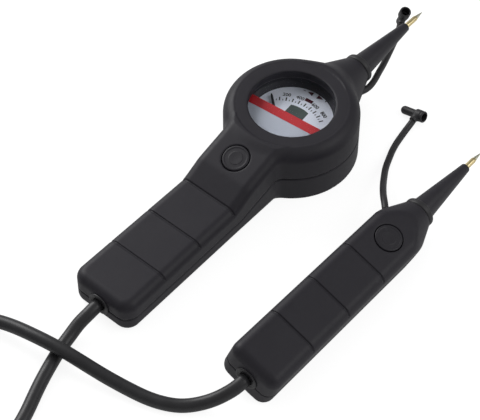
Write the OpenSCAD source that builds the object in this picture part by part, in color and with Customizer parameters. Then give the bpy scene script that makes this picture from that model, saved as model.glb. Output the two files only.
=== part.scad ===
// Two-pole voltage tester: a dial handset and a plain handset on one cable, each with a
// push button, a tapered probe and a tip cap on a rubber tether.
// The origin is where the dial's axis meets the flat back; the main tip points along +Y.

/* [Dial head] */
// Diameter of the round head
head_d = 72; // [66:1:80]
// Height of the head's crest above the flat back
head_t = 35; // [34:0.5:40]
// Radius that rounds the head's rim
crown_r = 8; // [6:0.5:9]
// Diameter of the opening over the lens
window_d = 46; // [42:1:50]
// Wall thickness of the mouldings
wall = 2.4; // [1.8:0.1:2.8]

/* [Main grip] */
// Distance from the dial's axis to the end of the grip
tail_y = 147; // [130:0.5:165]
// Width of the grip at its end
tail_w = 38.6; // [36:0.2:42]
// Width of the grip at its narrowest
waist_w = 36.6; // [35:0.2:40]
// Thickness of the grip at its end
tail_t = 19.6; // [18.6:0.2:22]
// Thickness of the grip where the shoulder starts
waist_t = 20.5; // [19:0.5:22]
// Distance from the dial's axis to the start of the shoulder
waist_y = 66; // [62:0.5:70]
// Radius that rounds the long edges
edge_r = 6; // [4:0.5:7]
// Height of the parting line along the grip
grip_seam_z = 9; // [7:0.5:10]
// Height of the parting line round the head
head_seam_z = 15.6; // [14:0.2:17]
// Distance between grip grooves
groove_pitch = 26.4; // [20:0.2:28]
// Width of a grip groove
groove_w = 1.2; // [0.8:0.1:2]
// Depth of a grip groove
groove_deep = 0.8; // [0.4:0.1:1.2]

/* [Buttons] */
// Diameter of a push button
button_d = 14.4; // [12:0.2:15]
// Gap round a push button
button_gap = 0.4; // [0.3:0.05:0.6]
// Travel of a push button
button_travel = 1; // [0.6:0.1:1.4]

/* [Plain handset] */
// Length of the body without its probe
body2_l = 132; // [120:0.5:145]
// Width of the body
body2_w = 29.4; // [28:0.2:34]
// Height of the top face above the probe's axis
body2_top = 13.2; // [12:0.2:15]
// Depth of the keel under the probe's axis
body2_keel = 15.2; // [14:0.2:17]
// Angle of the two belly flats, and how far the handset rolls on to one
belly_a = 18.5; // [14:0.5:22]

/* [Probes] */
// Length of the main probe's cone in front of its ring
cone_l = 38.8; // [34:0.2:46]
// Length of the plain handset's cone in front of its ring
cone2_l = 37; // [34:0.2:46]
// Diameter of a cone at its base
cone_d1 = 12.8; // [12:0.2:15]
// Diameter of a cone at its end
cone_d2 = 5; // [4.6:0.1:7]
// Diameter of the brass contact rod
tip_d = 3; // [2:0.1:3.4]
// Length of brass that shows on the main probe
tip_l = 9.2; // [7:0.2:14]
// Length of brass that shows on the plain handset
tip2_l = 7.4; // [6:0.2:14]
// Length of the steel point
point_l = 5.8; // [4:0.2:8]

/* [Cable and caps] */
// Diameter of the connecting cable
cable_d = 7; // [7]
// Diameter of a rubber tether
tether_d = 3.6; // [3.6]
// Outside diameter of a tip cap at its mouth
cap_d = 6.4; // [6:0.1:6.8]
// Bore of a tip cap at its mouth
cap_bore = 4.6; // [3.8:0.1:5]
// Length of a tip cap
cap_l = 15.4; // [14.6:0.2:17]
// Depth of a tip cap's whole bore
cap_deep = 13.4; // [9:0.2:13.6]

/* [Dial] */
// How far the dial sits turned in its seat, in degrees
dial_turn = 5.5; // [0:0.5:8]
// Height of the dial's face above the flat back
dial_z = 22.8; // [22.2:0.1:23]
// Distance from the dial's axis down to the pointer's pivot
pivot_y = 12; // [10:0.5:13]
// Length of the pointer from its pivot
pointer_l = 26.5; // [22:0.5:28]
// Angle of the resting pointer from the dial's upright
pointer_rest = 43; // [40:1:48]

/* [Hidden] */

// One overrun serves every cut
over = 1;
// Overrun of the long cutters that split and trim the shells
far = 200;
// Clearance between fixed pieces that fit together
fit = 0.1;
// Clearance between a pin and its bearing
run_fit = 0.05;
// Sides of an exact round and of a hull's rounding balls
$fn = 64;
ball_fn = 24;

charcoal = [0.20, 0.20, 0.22];
rubber_black = [0.11, 0.11, 0.12];
button_grey = [0.17, 0.17, 0.19];
dial_white = [0.84, 0.86, 0.90];
band_red = [0.78, 0.10, 0.13];
display_grey = [0.33, 0.38, 0.36];
lens_clear = [0.75, 0.82, 0.86, 0.35];
lamp_maroon = [0.30, 0.07, 0.10];
board_green = [0.10, 0.33, 0.20];
part_beige = [0.80, 0.72, 0.56];
part_black = [0.13, 0.13, 0.14];
magnet_grey = [0.42, 0.43, 0.45];
steel = [0.66, 0.67, 0.69];
brass = [0.80, 0.62, 0.26];
bronze = [0.62, 0.42, 0.22];

// Head, window and dial stack
head_r = head_d / 2;
window_r = window_d / 2;
lens_t = 1.4;
lens_over = 3;
lens_r = window_r + lens_over;
lens_up = 4.8;
lens_z = dial_z + lens_up;
seal_t = 0.4;
seal_w = lens_over - fit;
ledge_z = lens_z + lens_t + seal_t;
lip_w = 4.2;
lip_drop = 0.2;
plate_t = 0.8;
surround_w = 1.2;
surround_drop = 0.9;
surround_r = lens_r - seal_t;
dial_inset = 1;
dial_r = window_r - dial_inset;
cavity_r = head_r - wall;
cavity_top = lens_z - seal_t;

// Dial cover and its band
cover_t = 1;
cover_drop = 0.4;
cover_z = lens_z - cover_drop - cover_t;
cover_r = surround_r - surround_w - 2 * fit;
cover_edge_y = -1.4;
band_w = 5.5;
band_t = 0.2;
post_r = 1.5;
cover_post_x = 12;
cover_post_y = -14;

// Display window and lamps on the dial
display_w = 11;
display_y0 = 1;
display_y1 = 7.6;
display_bulge = 0.9;
display_proud = 0.1;
lamp_w = 4.5;
lamp_h = 2;
lamp_x = 0.8;
lamp_y = 15.2;
arrow_x = 3.1;
arrow_mid_x = 1.4;
arrow_y = 20.3;
arrow_l = 3.2;
arrow_h = 2.6;
lamp_proud = 0.25;
carrier_t = 2.4;
carrier_z = dial_z - plate_t - carrier_t;
board_t = 1.6;
display_board_w = 27;
display_board_y0 = -0.5;
display_board_y1 = 21;

// Moving-coil movement
shaft_r = 0.6;
bearing_r = 1.8;
core_r = 5.6;
core_bore_r = 1.5;
gap_r = 7.4;
yoke_r = 9.5;
base_t = 2.8;
yoke_z0 = 8;
yoke_z1 = 16.4;
arm_t = 0.8;
arm_gap = 0.6;
coil_w = 2.6;
coil_in_r = 6.1;
coil_out_r = 6.9;
lug_w = 3;
lug_z = 2;
lug_reach = sqrt(pow(gap_r - fit, 2) - pow(lug_w / 2, 2));
bridge_t = 1.6;
bridge_z = yoke_z1 + 2.6;
bridge_wall = 1.5;
hair_in_r = 1.2;
hair_out_r = 4.6;
hair_turns = 3;
hair_w = 0.25;
hair_h = 0.5;
pointer_z = dial_z + 1.1;
pointer_t = 0.4;
hub_r = 1.9;
pointer_w1 = 1.9;
pointer_w2 = 0.6;
pointer_tail = 6;
pivot_hole_r = 2.4;

// Carrier screws and their posts in the head
post_out_r = 2.8;
post_room = 1.4;
post_ring_r = cavity_r - post_out_r - post_room;
screw_pilot_r = 0.9;
screw_r = 0.85;
screw_l = 6;
screw_head_r = 1.7;
screw_head_t = 1.2;
carrier_seat = carrier_t - screw_head_t - fit;
ear_r = 2.8;
carrier_angles = [45, 135, 225, 315];

// Case screws
case_screw_r = 1.3;
case_head_r = 2.5;
case_head_t = 1.6;
case_screw_l = 12.5;
boss_r = 3.1;
boss_sink = 0.4;
head_boss_r = cavity_r - boss_r + boss_sink;
head_boss_a = 12;
grip_boss_x = 13.2;
boss_tail = 10;
boss_waist = 6;
grip_boss_y = [tail_y - boss_tail, waist_y + boss_waist];
counter_deep = 3;
skin_t = 2.6;
boss_cap = 0.6;
head_boss_top = carrier_z - fit;
head_seat_z = head_boss_top - boss_cap - case_screw_l;
grip_boss_top = waist_t - skin_t / 2;

// Shoulder of the grip, with the button's seat
shoulder_y = 54;
shoulder_t = 27;
shoulder_end_y = 34;
shoulder_end_t = 33.2;
shoulder_w = 37.4;
shoulder_a = atan((shoulder_end_t - shoulder_t) / (shoulder_y - shoulder_end_y));
button_y = 44.6;
button_z = shoulder_t + (shoulder_y - button_y) * tan(shoulder_a)
    + edge_r * (1 / cos(shoulder_a) - 1);
groove_count = 3;
side_wall = 2.2;
grip_cavity_w = waist_w - 2 * side_wall;
room_end_y = sqrt(pow(cavity_r, 2) - pow(grip_cavity_w / 2, 2)) - over;
seam_gap = 0.6;
seam_y0 = 62;
seam_y1 = 38;
seam_recess = 0.6;
seam_corner_r = 5.2;

// Buttons, measured down from the face
button_proud = 0.2;
button_deep = 3;
flange_r = 8.6;
flange_gap = 0.3;
flange_t = 1.2;

stem_r = 2.5;
stem_l = 4.4;
stem_clear = 0.3;
spring_r = 3.9;
spring_w = 0.8;
spring_l = 3.4;
switch_w = 10;
switch_t = 4.5;
socket_room = 1;
socket_deep = stem_l - spring_l + button_travel + socket_room;
spring_gap = 0.1;
hole_r = button_d / 2 + button_gap;

// Boards and their parts
pcb_z = 6.6;
pcb_w = 25;
pcb_back = 21.5;
pcb_y0 = tail_y - pcb_back;
pcb_y1 = 36;
pcb_post_r = 2;
pcb_post_x = 9;
pcb_post_in = [6, 8];
pcb_post_y = [pcb_y0 - pcb_post_in[0], pcb_y1 + pcb_post_in[1]];
part_gap = 1.5;
resistor_r = 2.2;
resistor_l = 12;
resistor_pitch = 6;
resistor_y = pcb_y0 - part_gap - resistor_l / 2;
ptc_r = 6;
ptc_t = 3;
ptc_y = resistor_y - resistor_l / 2 - part_gap - ptc_r;
chip_l = 10;
chip_w = 8;
chip_t = 2;
chip_y = ptc_y - ptc_r - part_gap - chip_l / 2;
cap_can_r = 3;
cap_can_l = 9;
cap_can_y = chip_y - chip_l / 2 - part_gap - cap_can_l / 2;
bracket_w = 9;

// Neck, cone, ring and tip
axis_z = 15.7;
neck_y0 = 26;
neck_r1 = 20.6;
neck_y1 = 54.5;
neck_r2 = 8.4;
neck_wall = 2.6;
spigot_l = 10;
collar_r = 8.5;
collar_t = 3.6;
collar_round = 1.5;
cone_base_l = 1.4;
shank_r = 1.1;
point_r = 1.25;
point_end_r = 0.12;
point_bore_r = 0.9;
point_in = 3;
point_step = 1.2;

// Gland, inner cable end and clamp at the tail
cable_z = 10;
gland_r = 5.3;
gland_flange_r = 6.4;
gland_flange_t = 1.2;
gland_proud = 0.8;
cable_in = 20;
clamp_back = 12.5;
clamp_y = tail_y - clamp_back;
clamp_l = 5;
clamp_w = 17;
clamp_h = 5.4;
clamp_screw_x = 6.2;

// Plain handset's place, and its inside
probe_pos = [85.6, -134.9, body2_keel * cos(belly_a)];
edge2_r = 6;
nose_r = 8.6;
nose_back_r = 17.1;
nose_back_l = 20;
tail2_drop = 0.5;
button2_y = 103;
groove2_y = 29.9;
groove2_pitch = 27.2;
seam2_z = -2;
cavity2_x = body2_w / 2 - skin_t;
cavity2_top = body2_top - skin_t;
cavity2_y1 = button2_y + flange_r + button_gap;
board2_z = -7.6;
board2_room = 2.1;
board2_w = 2 * (cavity2_x - board2_room);
board2_y = [26, 110];
board2_post_r = 1.8;
board2_post_y = [32, 84];
screws2_y = [8, 114.5];
screws2_x = 9;
boss2_r = 2.7;
screw2_l = 11;
counter2_deep = 4;
seat2_z = counter2_deep - body2_keel + screws2_x * tan(belly_a);

// Routes of the cable and the tethers, in millimetres, chosen by hand
main_run = [[0, -147.8, 10], [0, -150, 10], [-0.2, -155, 9], [-0.8, -160, 7.2],
            [-0.6, -167, 4.6], [0.4, -174, 3.5], [3, -183, 3.5], [6.4, -193, 3.5],
            [10.8, -204, 3.5], [15.4, -215, 3.5], [18.8, -228, 3.5], [20, -243, 3.5],
            [20, -258, 3.5], [20, -265, 3.5]];
probe_run = [[85.6, -135.7, 14.4], [85.6, -137.9, 14.4], [84.9, -141.2, 13.2],
             [82.9, -144.9, 10.8], [79.3, -150, 7.6], [74.2, -155.8, 4.9], [68, -161.7, 3.7],
             [61, -166, 3.5], [53.2, -169, 3.5], [43.1, -171.6, 4.2], [29.2, -174.8, 6.4],
             [15.7, -177.5, 9.2], [2.1, -179.8, 10.7], [-11.6, -181.8, 9.8],
             [-26.5, -184.2, 7.4], [-40.5, -189.2, 5.2], [-52.8, -197.8, 4], [-62, -210, 3.8],
             [-67, -225, 4.6], [-68.6, -240, 8.2], [-68.6, -254, 11.1], [-68.6, -265, 11.1]];
main_tether_run = [[8.6, 45.9, 11], [9.4, 48.6, 10.6], [9.8, 53.4, 9.8], [9.2, 57.4, 9.2],
                   [7.8, 62.3, 8.4], [6.4, 66.3, 7.8], [3.9, 73.6, 6.6], [1.2, 80.8, 5.4],
                   [-1.5, 87.7, 4.4], [-2.85, 91.2, 4], [-4.3, 95.1, 3.9], [-5.7, 98.7, 4.2],
                   [-6.9, 101.7, 5], [-7.8, 103.8, 6], [-8.4, 105.1, 7], [-9.2, 107.8, 8.3]];
probe_tether_run = [[73.9, -13.8, 18.8], [71.2, -10.9, 18.7], [66.9, -6.3, 17.1],
                    [62, -0.2, 14], [58.2, 5.1, 11], [53.8, 11.8, 7.6], [49.4, 19.1, 4.6],
                    [46.3, 25.7, 2.8], [43.7, 32, 1.9], [42.1, 37.6, 1.9], [41.1, 42.7, 1.9],
                    [40.2, 48, 2], [39.8, 52.1, 2.6], [39.7, 54.6, 3.6], [39.7, 56.4, 4.7]];
main_cap_pos = [-7.8, 108.5, 14.6];
main_cap_dir = [22, -24];
probe_cap_pos = [43.9, 59.1, 5.9];
probe_cap_dir = [75.3, 0];
cap_mouth_l = 5;
cap_step_l = 1.5;
cap_wall = 0.7;
cap_tail_bore = tip_d + 2 * fit;
cap_tail_r = cap_tail_bore / 2 + cap_wall;

// Coil of the cable that is put away
coil_c = [-24.3, -272, 0];
coil_r = 31;
coil_pitch = 7.6;
coil_turns = 3.5;
coil_rings = 24;
coil_sides = 6;
cord_sides = 8;

// Points of an arc round a centre, from one angle to another
function arc(c, r, a0, a1, n) =
    [for (i = [0:n]) let (a = a0 + (a1 - a0) * i / n) [c[0] + r * cos(a), c[1] + r * sin(a)]];

function unit(v) = v / norm(v);

// Direction of a route at one of its points
function heading(route, i) =
    unit(route[min(i + 1, len(route) - 1)] - route[max(i - 1, 0)]);

// Rings of a round tube along a route that never runs straight up
function rings(route, r, sides) =
    [for (i = [0:len(route) - 1])
        let (t = heading(route, i), s = unit(cross(t, [0, 0, 1])), u = cross(s, t))
        for (k = [0:sides - 1])
            let (a = 360 * (k + 0.5) / sides)
            route[i] + r * (cos(a) * s + sin(a) * u)];

// Triangles between neighbouring rings, and the two flat ends
function skin(count, sides) = concat(
    [for (i = [0:count - 2], k = [0:sides - 1])
        [i * sides + k, i * sides + (k + 1) % sides, (i + 1) * sides + k]],
    [for (i = [0:count - 2], k = [0:sides - 1])
        [i * sides + (k + 1) % sides, (i + 1) * sides + (k + 1) % sides, (i + 1) * sides + k]],
    [for (k = [1:sides - 2]) [0, k + 1, k]],
    [for (k = [1:sides - 2])
        [(count - 1) * sides, (count - 1) * sides + k, (count - 1) * sides + k + 1]]);

module tube(route, r, sides) {
    polyhedron(points = rings(route, r, sides), faces = skin(len(route), sides), convexity = 8);
}

module ball(x, y, z, r) {
    translate([x, y, z]) sphere(r, $fn = ball_fn);
}

// A bar whose outline lies in Y and Z, centred on X
module side_bar(points, w) {
    rotate([90, 0, 90]) linear_extrude(height = w, center = true) polygon(points);
}

module along_y(y) {
    translate([0, y, 0]) rotate([-90, 0, 0]) children();
}

// Frame of the main button: its face is the XY plane
module at_button() {
    translate([0, -button_y, button_z]) rotate([shoulder_a, 0, 0]) children();
}

module at_dial() {
    rotate([0, 0, dial_turn]) children();
}

module at_pivot() {
    at_dial() translate([0, -pivot_y, 0]) children();
}

module at_tip() {
    translate([0, 0, axis_z]) children();
}

module at_probe() {
    translate(probe_pos) rotate([0, belly_a, 0]) children();
}

module at_button2() {
    at_probe() translate([0, button2_y, body2_top]) children();
}

// Outside of the main handset before it is split
module head_form() {
    crest = head_r - crown_r;
    rotate_extrude($fn = 96)
        polygon(concat([[0, 0]], [[head_r, 0]],
                       arc([crest, head_t - crown_r], crown_r, 0, 90, 8), [[0, head_t]]));
}

module grip_form() {
    hull() for (s = [-1, 1], top = [0, 1]) {
        ball(s * (tail_w / 2 - edge_r), edge_r - tail_y, top ? tail_t - edge_r : edge_r, edge_r);
        ball(s * (waist_w / 2 - edge_r), -waist_y, top ? waist_t - edge_r : edge_r, edge_r);
    }
}

module shoulder_form() {
    hull() for (s = [-1, 1], top = [0, 1]) {
        ball(s * (waist_w / 2 - edge_r), -waist_y, top ? waist_t - edge_r : edge_r, edge_r);
        ball(s * (waist_w / 2 - edge_r), -shoulder_y, top ? shoulder_t - edge_r : edge_r, edge_r);
        ball(s * (shoulder_w / 2 - edge_r), -shoulder_end_y,
             top ? shoulder_end_t - edge_r : edge_r, edge_r);
    }
}

module neck_form() {
    intersection() {
        at_tip() along_y(neck_y0) cylinder(r1 = neck_r1, r2 = neck_r2, h = neck_y1 - neck_y0);
        translate([-head_r, 0, 0]) cube([head_d, neck_y1, head_t]);
    }
}

module main_form() {
    head_form();
    grip_form();
    shoulder_form();
    neck_form();
}

// Hollow of the main handset
module main_hollow() {
    translate([0, 0, wall]) cylinder(r = cavity_r, h = cavity_top - wall);
    side_bar([[wall - tail_y, wall], [-room_end_y, wall], [-room_end_y, cavity_top],
              [-shoulder_end_y, cavity_top], [-shoulder_y, shoulder_t - skin_t],
              [-waist_y, waist_t - skin_t], [wall - tail_y, tail_t - skin_t]], grip_cavity_w);
    at_tip() along_y(neck_y0)
        cylinder(r1 = neck_r1 - 2 * neck_wall, r2 = neck_r2 - neck_wall,
                 h = neck_y1 - neck_y0 - spigot_l);
    at_tip() along_y(neck_y1 - spigot_l - over)
        cylinder(d = cone_d1 + fit, h = spigot_l + 2 * over);
    translate([0, 0, cable_z]) along_y(-tail_y - over)
        cylinder(r = gland_r + fit, h = wall + 2 * over);
}

// Everything under the parting line, which climbs from the grip to the head
module under_seam(shift) {
    side_bar([[-far, -over], [far, -over], [far, head_seam_z + shift],
              [-seam_y1, head_seam_z + shift], [-seam_y0, grip_seam_z + shift],
              [-far, grip_seam_z + shift]], far);
}

function head_boss(i) = let (a = head_boss_a + i * (180 - 2 * head_boss_a))
    [head_boss_r * cos(a), head_boss_r * sin(a)];
// Each case screw's place, then the heights of the parting line, its seat and its boss's top
case_screws = concat(
    [for (i = [0, 1]) concat(head_boss(i), [head_seam_z, head_seat_z, head_boss_top])],
    [for (s = [-1, 1], y = grip_boss_y)
        [s * grip_boss_x, -y, grip_seam_z, counter_deep, grip_boss_top]]);
at_seam = 2;
at_seat = 3;
at_top = 4;

// Places of the case screws at one of their three heights
module at_case_screws(height) {
    for (p = case_screws) translate([p[0], p[1], p[height]]) children();
}

module main_bottom_shell() color(charcoal) {
    difference() {
        union() {
            difference() {
                intersection() {
                    main_form();
                    under_seam(-seam_gap / 2);
                }
                main_hollow();
            }
            for (p = case_screws) translate([p[0], p[1], wall / 2])
                cylinder(r = boss_r, h = p[at_seam] - wall / 2);
            for (a = carrier_angles) at_dial() rotate(a) translate([post_ring_r, 0, wall / 2])
                cylinder(r = post_out_r, h = carrier_z - wall / 2);
            for (s = [-1, 1], y = pcb_post_y) translate([s * pcb_post_x, -y, wall / 2])
                cylinder(r = pcb_post_r, h = pcb_z - wall / 2);
        }
        at_case_screws(at_seat) translate([0, 0, -over]) cylinder(r = case_screw_r + fit, h = far);
        at_case_screws(at_seat) translate([0, 0, -far]) cylinder(r = case_head_r + fit, h = far);
        for (a = carrier_angles) at_dial() rotate(a)
            translate([post_ring_r, 0, carrier_z - screw_l]) cylinder(r = screw_pilot_r, h = far);
    }
}

module main_top_shell() color(charcoal) difference() {
    union() {
        difference() {
            intersection() {
                main_form();
                difference() {
                    translate([-far / 2, -far, -over]) cube([far, 2 * far, head_t + 2 * over]);
                    under_seam(seam_gap / 2);
                }
            }
            main_hollow();
        }
        for (p = case_screws) translate([p[0], p[1], p[at_seam]])
            cylinder(r = boss_r, h = p[at_top] - p[at_seam]);
    }
    translate([0, 0, cavity_top - over]) cylinder(r = lens_r + fit, h = ledge_z - cavity_top + over);
    window_cut();
    at_button() translate([0, 0, -skin_t - 3 * over]) cylinder(r = hole_r, h = skin_t + 5 * over);
    at_button() translate([0, 0, -skin_t - flange_t - 4 * over]) cylinder(r = flange_r + button_gap,
        h = flange_t + 4 * over);
    for (i = [0:groove_count - 1]) {
        y = -waist_y - i * groove_pitch;
        z = waist_t + (tail_t - waist_t) * (-y - waist_y) / (tail_y - waist_y);
        translate([-tail_w / 2, y - groove_w / 2, z - groove_deep]) cube([tail_w, groove_w, edge_r]);
    }
    at_case_screws(at_seat) cylinder(r = case_screw_r - fit, h = case_screw_l + fit);
}

// The opening over the lens and the sloped lip round it
module window_cut() {
    rotate_extrude($fn = 96) polygon([[0, ledge_z - over], [window_r, ledge_z - over],
        [window_r, head_t - lip_drop], [window_r + lip_w, head_t],
        [window_r + lip_w, head_t + over], [0, head_t + over]]);
}

module main_gasket() color(rubber_black) difference() {
    intersection() {
        union() {
            cylinder(r = head_r - seam_recess, h = head_t - crown_r);
            hull() for (x = [-1, 1], y = [seam_corner_r - tail_y, 0])
                translate([x * (waist_w / 2 - seam_corner_r), y, 0])
                    cylinder(r = seam_corner_r - seam_recess, h = head_t / 2);
            intersection() {
                at_tip() along_y(neck_y0) cylinder(r1 = neck_r1 - seam_recess,
                    r2 = neck_r2 - seam_recess, h = neck_y1 - neck_y0);
                translate([-head_r, 0, 0]) cube([head_d, neck_y1, head_t]);
            }
        }
        difference() {
            under_seam(seam_gap / 2);
            translate([0, 0, -over]) under_seam(over - seam_gap / 2);
        }
    }
    main_hollow();
    at_case_screws(at_seam) translate([0, 0, -over]) cylinder(r = boss_r + fit, h = 2 * over);
}

module window_seal() color(rubber_black) translate([0, 0, lens_z + lens_t]) difference() {
    cylinder(r = window_r + seal_w, h = seal_t);
    translate([0, 0, -over]) cylinder(r = window_r + seal_t, h = seal_t + 2 * over);
}

module window_lens() color(lens_clear) translate([0, 0, lens_z]) cylinder(r = lens_r, h = lens_t);

module dial_surround() color(rubber_black) rotate_extrude($fn = 96)
    polygon([[dial_r, dial_z], [surround_r, dial_z], [surround_r, lens_z],
             [surround_r - surround_w, lens_z], [surround_r - surround_w, cover_z - surround_drop]]);

module dial_cover() color(dial_white) at_dial() {
    intersection() {
        translate([0, 0, cover_z]) cylinder(r = cover_r, h = cover_t);
        translate([-head_r, cover_edge_y - head_r, cover_z]) cube([head_d, head_r, cover_t]);
    }
    for (s = [-1, 1]) translate([s * cover_post_x, cover_post_y, dial_z])
        cylinder(r = post_r, h = cover_z - dial_z);
}

module dial_band() color(band_red) at_dial() intersection() {
    translate([0, 0, cover_z + cover_t]) cylinder(r = cover_r, h = band_t);
    translate([-head_r, cover_edge_y - band_w, cover_z + cover_t]) cube([head_d, band_w, band_t]);
}

// Fan-shaped outline of the display window
module display_outline(grow) {
    w = display_w / 2 + grow;
    rise = display_bulge;
    r = (w * w + rise * rise) / (2 * rise);
    half = asin(w / r);
    polygon(concat([[-w, display_y0 - grow], [w, display_y0 - grow]],
                   arc([0, display_y1 + grow + rise - r], r, 90 - half, 90 + half, 6)));
}

module arrow_outline(s, grow) {
    h = arrow_h / 2 + grow;
    translate([arrow_mid_x, arrow_y]) polygon([[s * (arrow_x - arrow_l / 2 - grow), -h],
        [s * (arrow_x - arrow_l / 2 - grow), h], [s * (arrow_x + arrow_l / 2 + grow), 0]]);
}

module lamp_outline(grow) {
    translate([lamp_x - lamp_w / 2 - grow, lamp_y - lamp_h / 2 - grow])
        square([lamp_w + 2 * grow, lamp_h + 2 * grow]);
}

module dial_plate() color(dial_white) at_dial() translate([0, 0, dial_z - plate_t]) difference() {
    cylinder(r = surround_r, h = plate_t);
    translate([0, 0, -over]) linear_extrude(height = plate_t + 2 * over) {
        display_outline(fit);
        lamp_outline(fit);
        arrow_outline(-1, fit);
        arrow_outline(1, fit);
    }
    translate([0, -pivot_y, -over]) cylinder(r = pivot_hole_r, h = plate_t + 2 * over);
}

module display_window() color(display_grey) at_dial() translate([0, 0, carrier_z])
    linear_extrude(height = dial_z - carrier_z + display_proud) display_outline(0);

module indicator_lenses() color(lamp_maroon) at_dial() translate([0, 0, carrier_z])
    linear_extrude(height = dial_z - carrier_z + lamp_proud) {
        lamp_outline(0);
        arrow_outline(-1, 0);
        arrow_outline(1, 0);
    }

module display_board() color(board_green) at_dial() translate([0, 0, carrier_z - board_t])
    intersection() {
        cylinder(r = surround_r, h = board_t);
        translate([-display_board_w / 2, display_board_y0, 0])
            cube([display_board_w, display_board_y1 - display_board_y0 + over, board_t]);
    }

module dial_carrier() color(part_black) at_dial() translate([0, 0, carrier_z]) difference() {
    union() {
        cylinder(r = surround_r, h = carrier_t);
        for (a = carrier_angles) rotate(a) {
            translate([post_ring_r, 0, 0]) cylinder(r = ear_r, h = carrier_t);
            translate([0, -ear_r, 0]) cube([post_ring_r, 2 * ear_r, carrier_t]);
        }
    }
    for (a = carrier_angles) rotate(a) translate([post_ring_r, 0, 0]) {
        translate([0, 0, -over]) cylinder(r = screw_r + fit, h = carrier_t + 2 * over);
        translate([0, 0, carrier_seat]) cylinder(r = screw_head_r + fit, h = carrier_t);
    }
    translate([0, -pivot_y, -over]) cylinder(r = yoke_r + fit, h = carrier_t + 2 * over);
    translate([0, 0, -over]) linear_extrude(height = carrier_t + 2 * over) {
        display_outline(fit);
        lamp_outline(fit);
        arrow_outline(-1, fit);
        arrow_outline(1, fit);
    }
}

module screw(r, l, head, head_h) {
    translate([0, 0, -l]) cylinder(r = r, h = l);
    cylinder(r = head, h = head_h);
}

module carrier_screws() color(steel) at_dial() for (a = carrier_angles) rotate(a)
    translate([post_ring_r, 0, carrier_z + carrier_seat])
        screw(screw_pilot_r - fit, screw_l, screw_head_r, screw_head_t);

// Moving-coil movement round the pivot
module pointer() color(part_black) at_pivot() translate([0, 0, pointer_z]) rotate(pointer_rest)
    difference() {
        union() {
            cylinder(r = hub_r, h = pointer_t);
            linear_extrude(height = pointer_t) polygon([[-pointer_w1 / 2, -pointer_tail],
                [pointer_w1 / 2, -pointer_tail], [pointer_w1 / 2, 0],
                [pointer_w2 / 2, pointer_l - pointer_w1], [0, pointer_l],
                [-pointer_w2 / 2, pointer_l - pointer_w1], [-pointer_w1 / 2, 0]]);
        }
        translate([0, 0, -over]) cylinder(r = shaft_r, h = pointer_t + 2 * over);
    }

shaft_z0 = wall + base_t / 2;
module pivot_shaft() color(steel) at_pivot() translate([0, 0, shaft_z0 + fit])
    cylinder(r = shaft_r, h = pointer_z + pointer_t - shaft_z0);

module coil_former() color(bronze) at_pivot() rotate(pointer_rest) {
    z0 = yoke_z0 - arm_gap - arm_t;
    z1 = yoke_z1 + arm_gap;
    for (s = [-1, 1]) translate([s * (coil_in_r + coil_out_r) / 2 - (coil_out_r - coil_in_r) / 2,
                                 -coil_w / 2, z0])
        cube([coil_out_r - coil_in_r, coil_w, z1 + arm_t - z0]);
    for (z = [z0, z1]) difference() {
        translate([-coil_in_r, -coil_w / 2, z]) cube([2 * coil_in_r, coil_w, arm_t]);
        translate([0, 0, z - over]) cylinder(r = shaft_r, h = arm_t + 2 * over);
    }
}

module core_magnet() color(magnet_grey) at_pivot() difference() {
    union() {
        translate([0, 0, yoke_z0]) cylinder(r = core_r, h = yoke_z1 - yoke_z0);
        for (s = [0, 180]) rotate(s) translate([-lug_w / 2, core_r - over, yoke_z0 + lug_z])
            cube([lug_w, lug_reach - core_r + over, yoke_z1 - yoke_z0 - 2 * lug_z]);
    }
    translate([0, 0, yoke_z0 - over]) cylinder(r = core_bore_r, h = yoke_z1 - yoke_z0 + 2 * over);
}

module ring(r_out, r_in, z0, z1) {
    translate([0, 0, z0]) difference() {
        cylinder(r = r_out, h = z1 - z0);
        translate([0, 0, -over]) cylinder(r = r_in, h = z1 - z0 + 2 * over);
    }
}

module yoke_ring() color(magnet_grey) at_pivot() ring(yoke_r, gap_r, yoke_z0, yoke_z1);

module movement_base() color(brass) at_pivot() {
    ring(yoke_r, bearing_r, wall, wall + base_t);
    ring(yoke_r, yoke_r - bridge_wall, wall + base_t, yoke_z0);
}

module movement_bridge() color(brass) at_pivot() {
    ring(yoke_r, yoke_r - bridge_wall, yoke_z1, bridge_z);
    ring(yoke_r, bearing_r, bridge_z, bridge_z + bridge_t);
}

module pivot_bearings() color(bronze) at_pivot() {
    ring(bearing_r, shaft_r + run_fit, bridge_z, bridge_z + bridge_t);
    ring(bearing_r, shaft_r + run_fit, shaft_z0, wall + base_t);
    translate([0, 0, wall]) cylinder(r = bearing_r, h = shaft_z0 - wall);
}

// Flat spiral from the shaft's collet to a fixed stud
module hair_spiral(z) {
    steps = 36;
    span = hair_out_r - hair_in_r;
    translate([0, 0, z]) linear_extrude(height = hair_h) polygon(concat(
        [for (i = [0:steps]) let (a = 360 * hair_turns * i / steps, r = hair_in_r + span * i / steps)
            [r * cos(a), r * sin(a)]],
        [for (i = [steps:-1:0]) let (a = 360 * hair_turns * i / steps,
            r = hair_in_r + span * i / steps + hair_w) [r * cos(a), r * sin(a)]]));
    ring(hair_in_r + hair_w / 2, shaft_r, z, z + hair_h);
}

module hairsprings() color(bronze) at_pivot() {
    hair_spiral(bridge_z + bridge_t + fit);
    hair_spiral(wall + base_t + fit);
}

// Boards in the grip
board_top = pcb_z + board_t;
module main_board() color(board_green) difference() {
    translate([-pcb_w / 2, -pcb_y0, pcb_z]) cube([pcb_w, pcb_y0 - pcb_y1, board_t]);
    at_case_screws(at_seam) translate([0, 0, -head_seam_z])
        cylinder(r = boss_r + 2 * fit, h = far);
}

module series_resistors() color(part_beige) for (i = [-1.5:1:1.5])
    translate([i * resistor_pitch, -resistor_y, board_top + resistor_r])
        rotate([-90, 0, 0]) cylinder(r = resistor_r, h = resistor_l, center = true);

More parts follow.
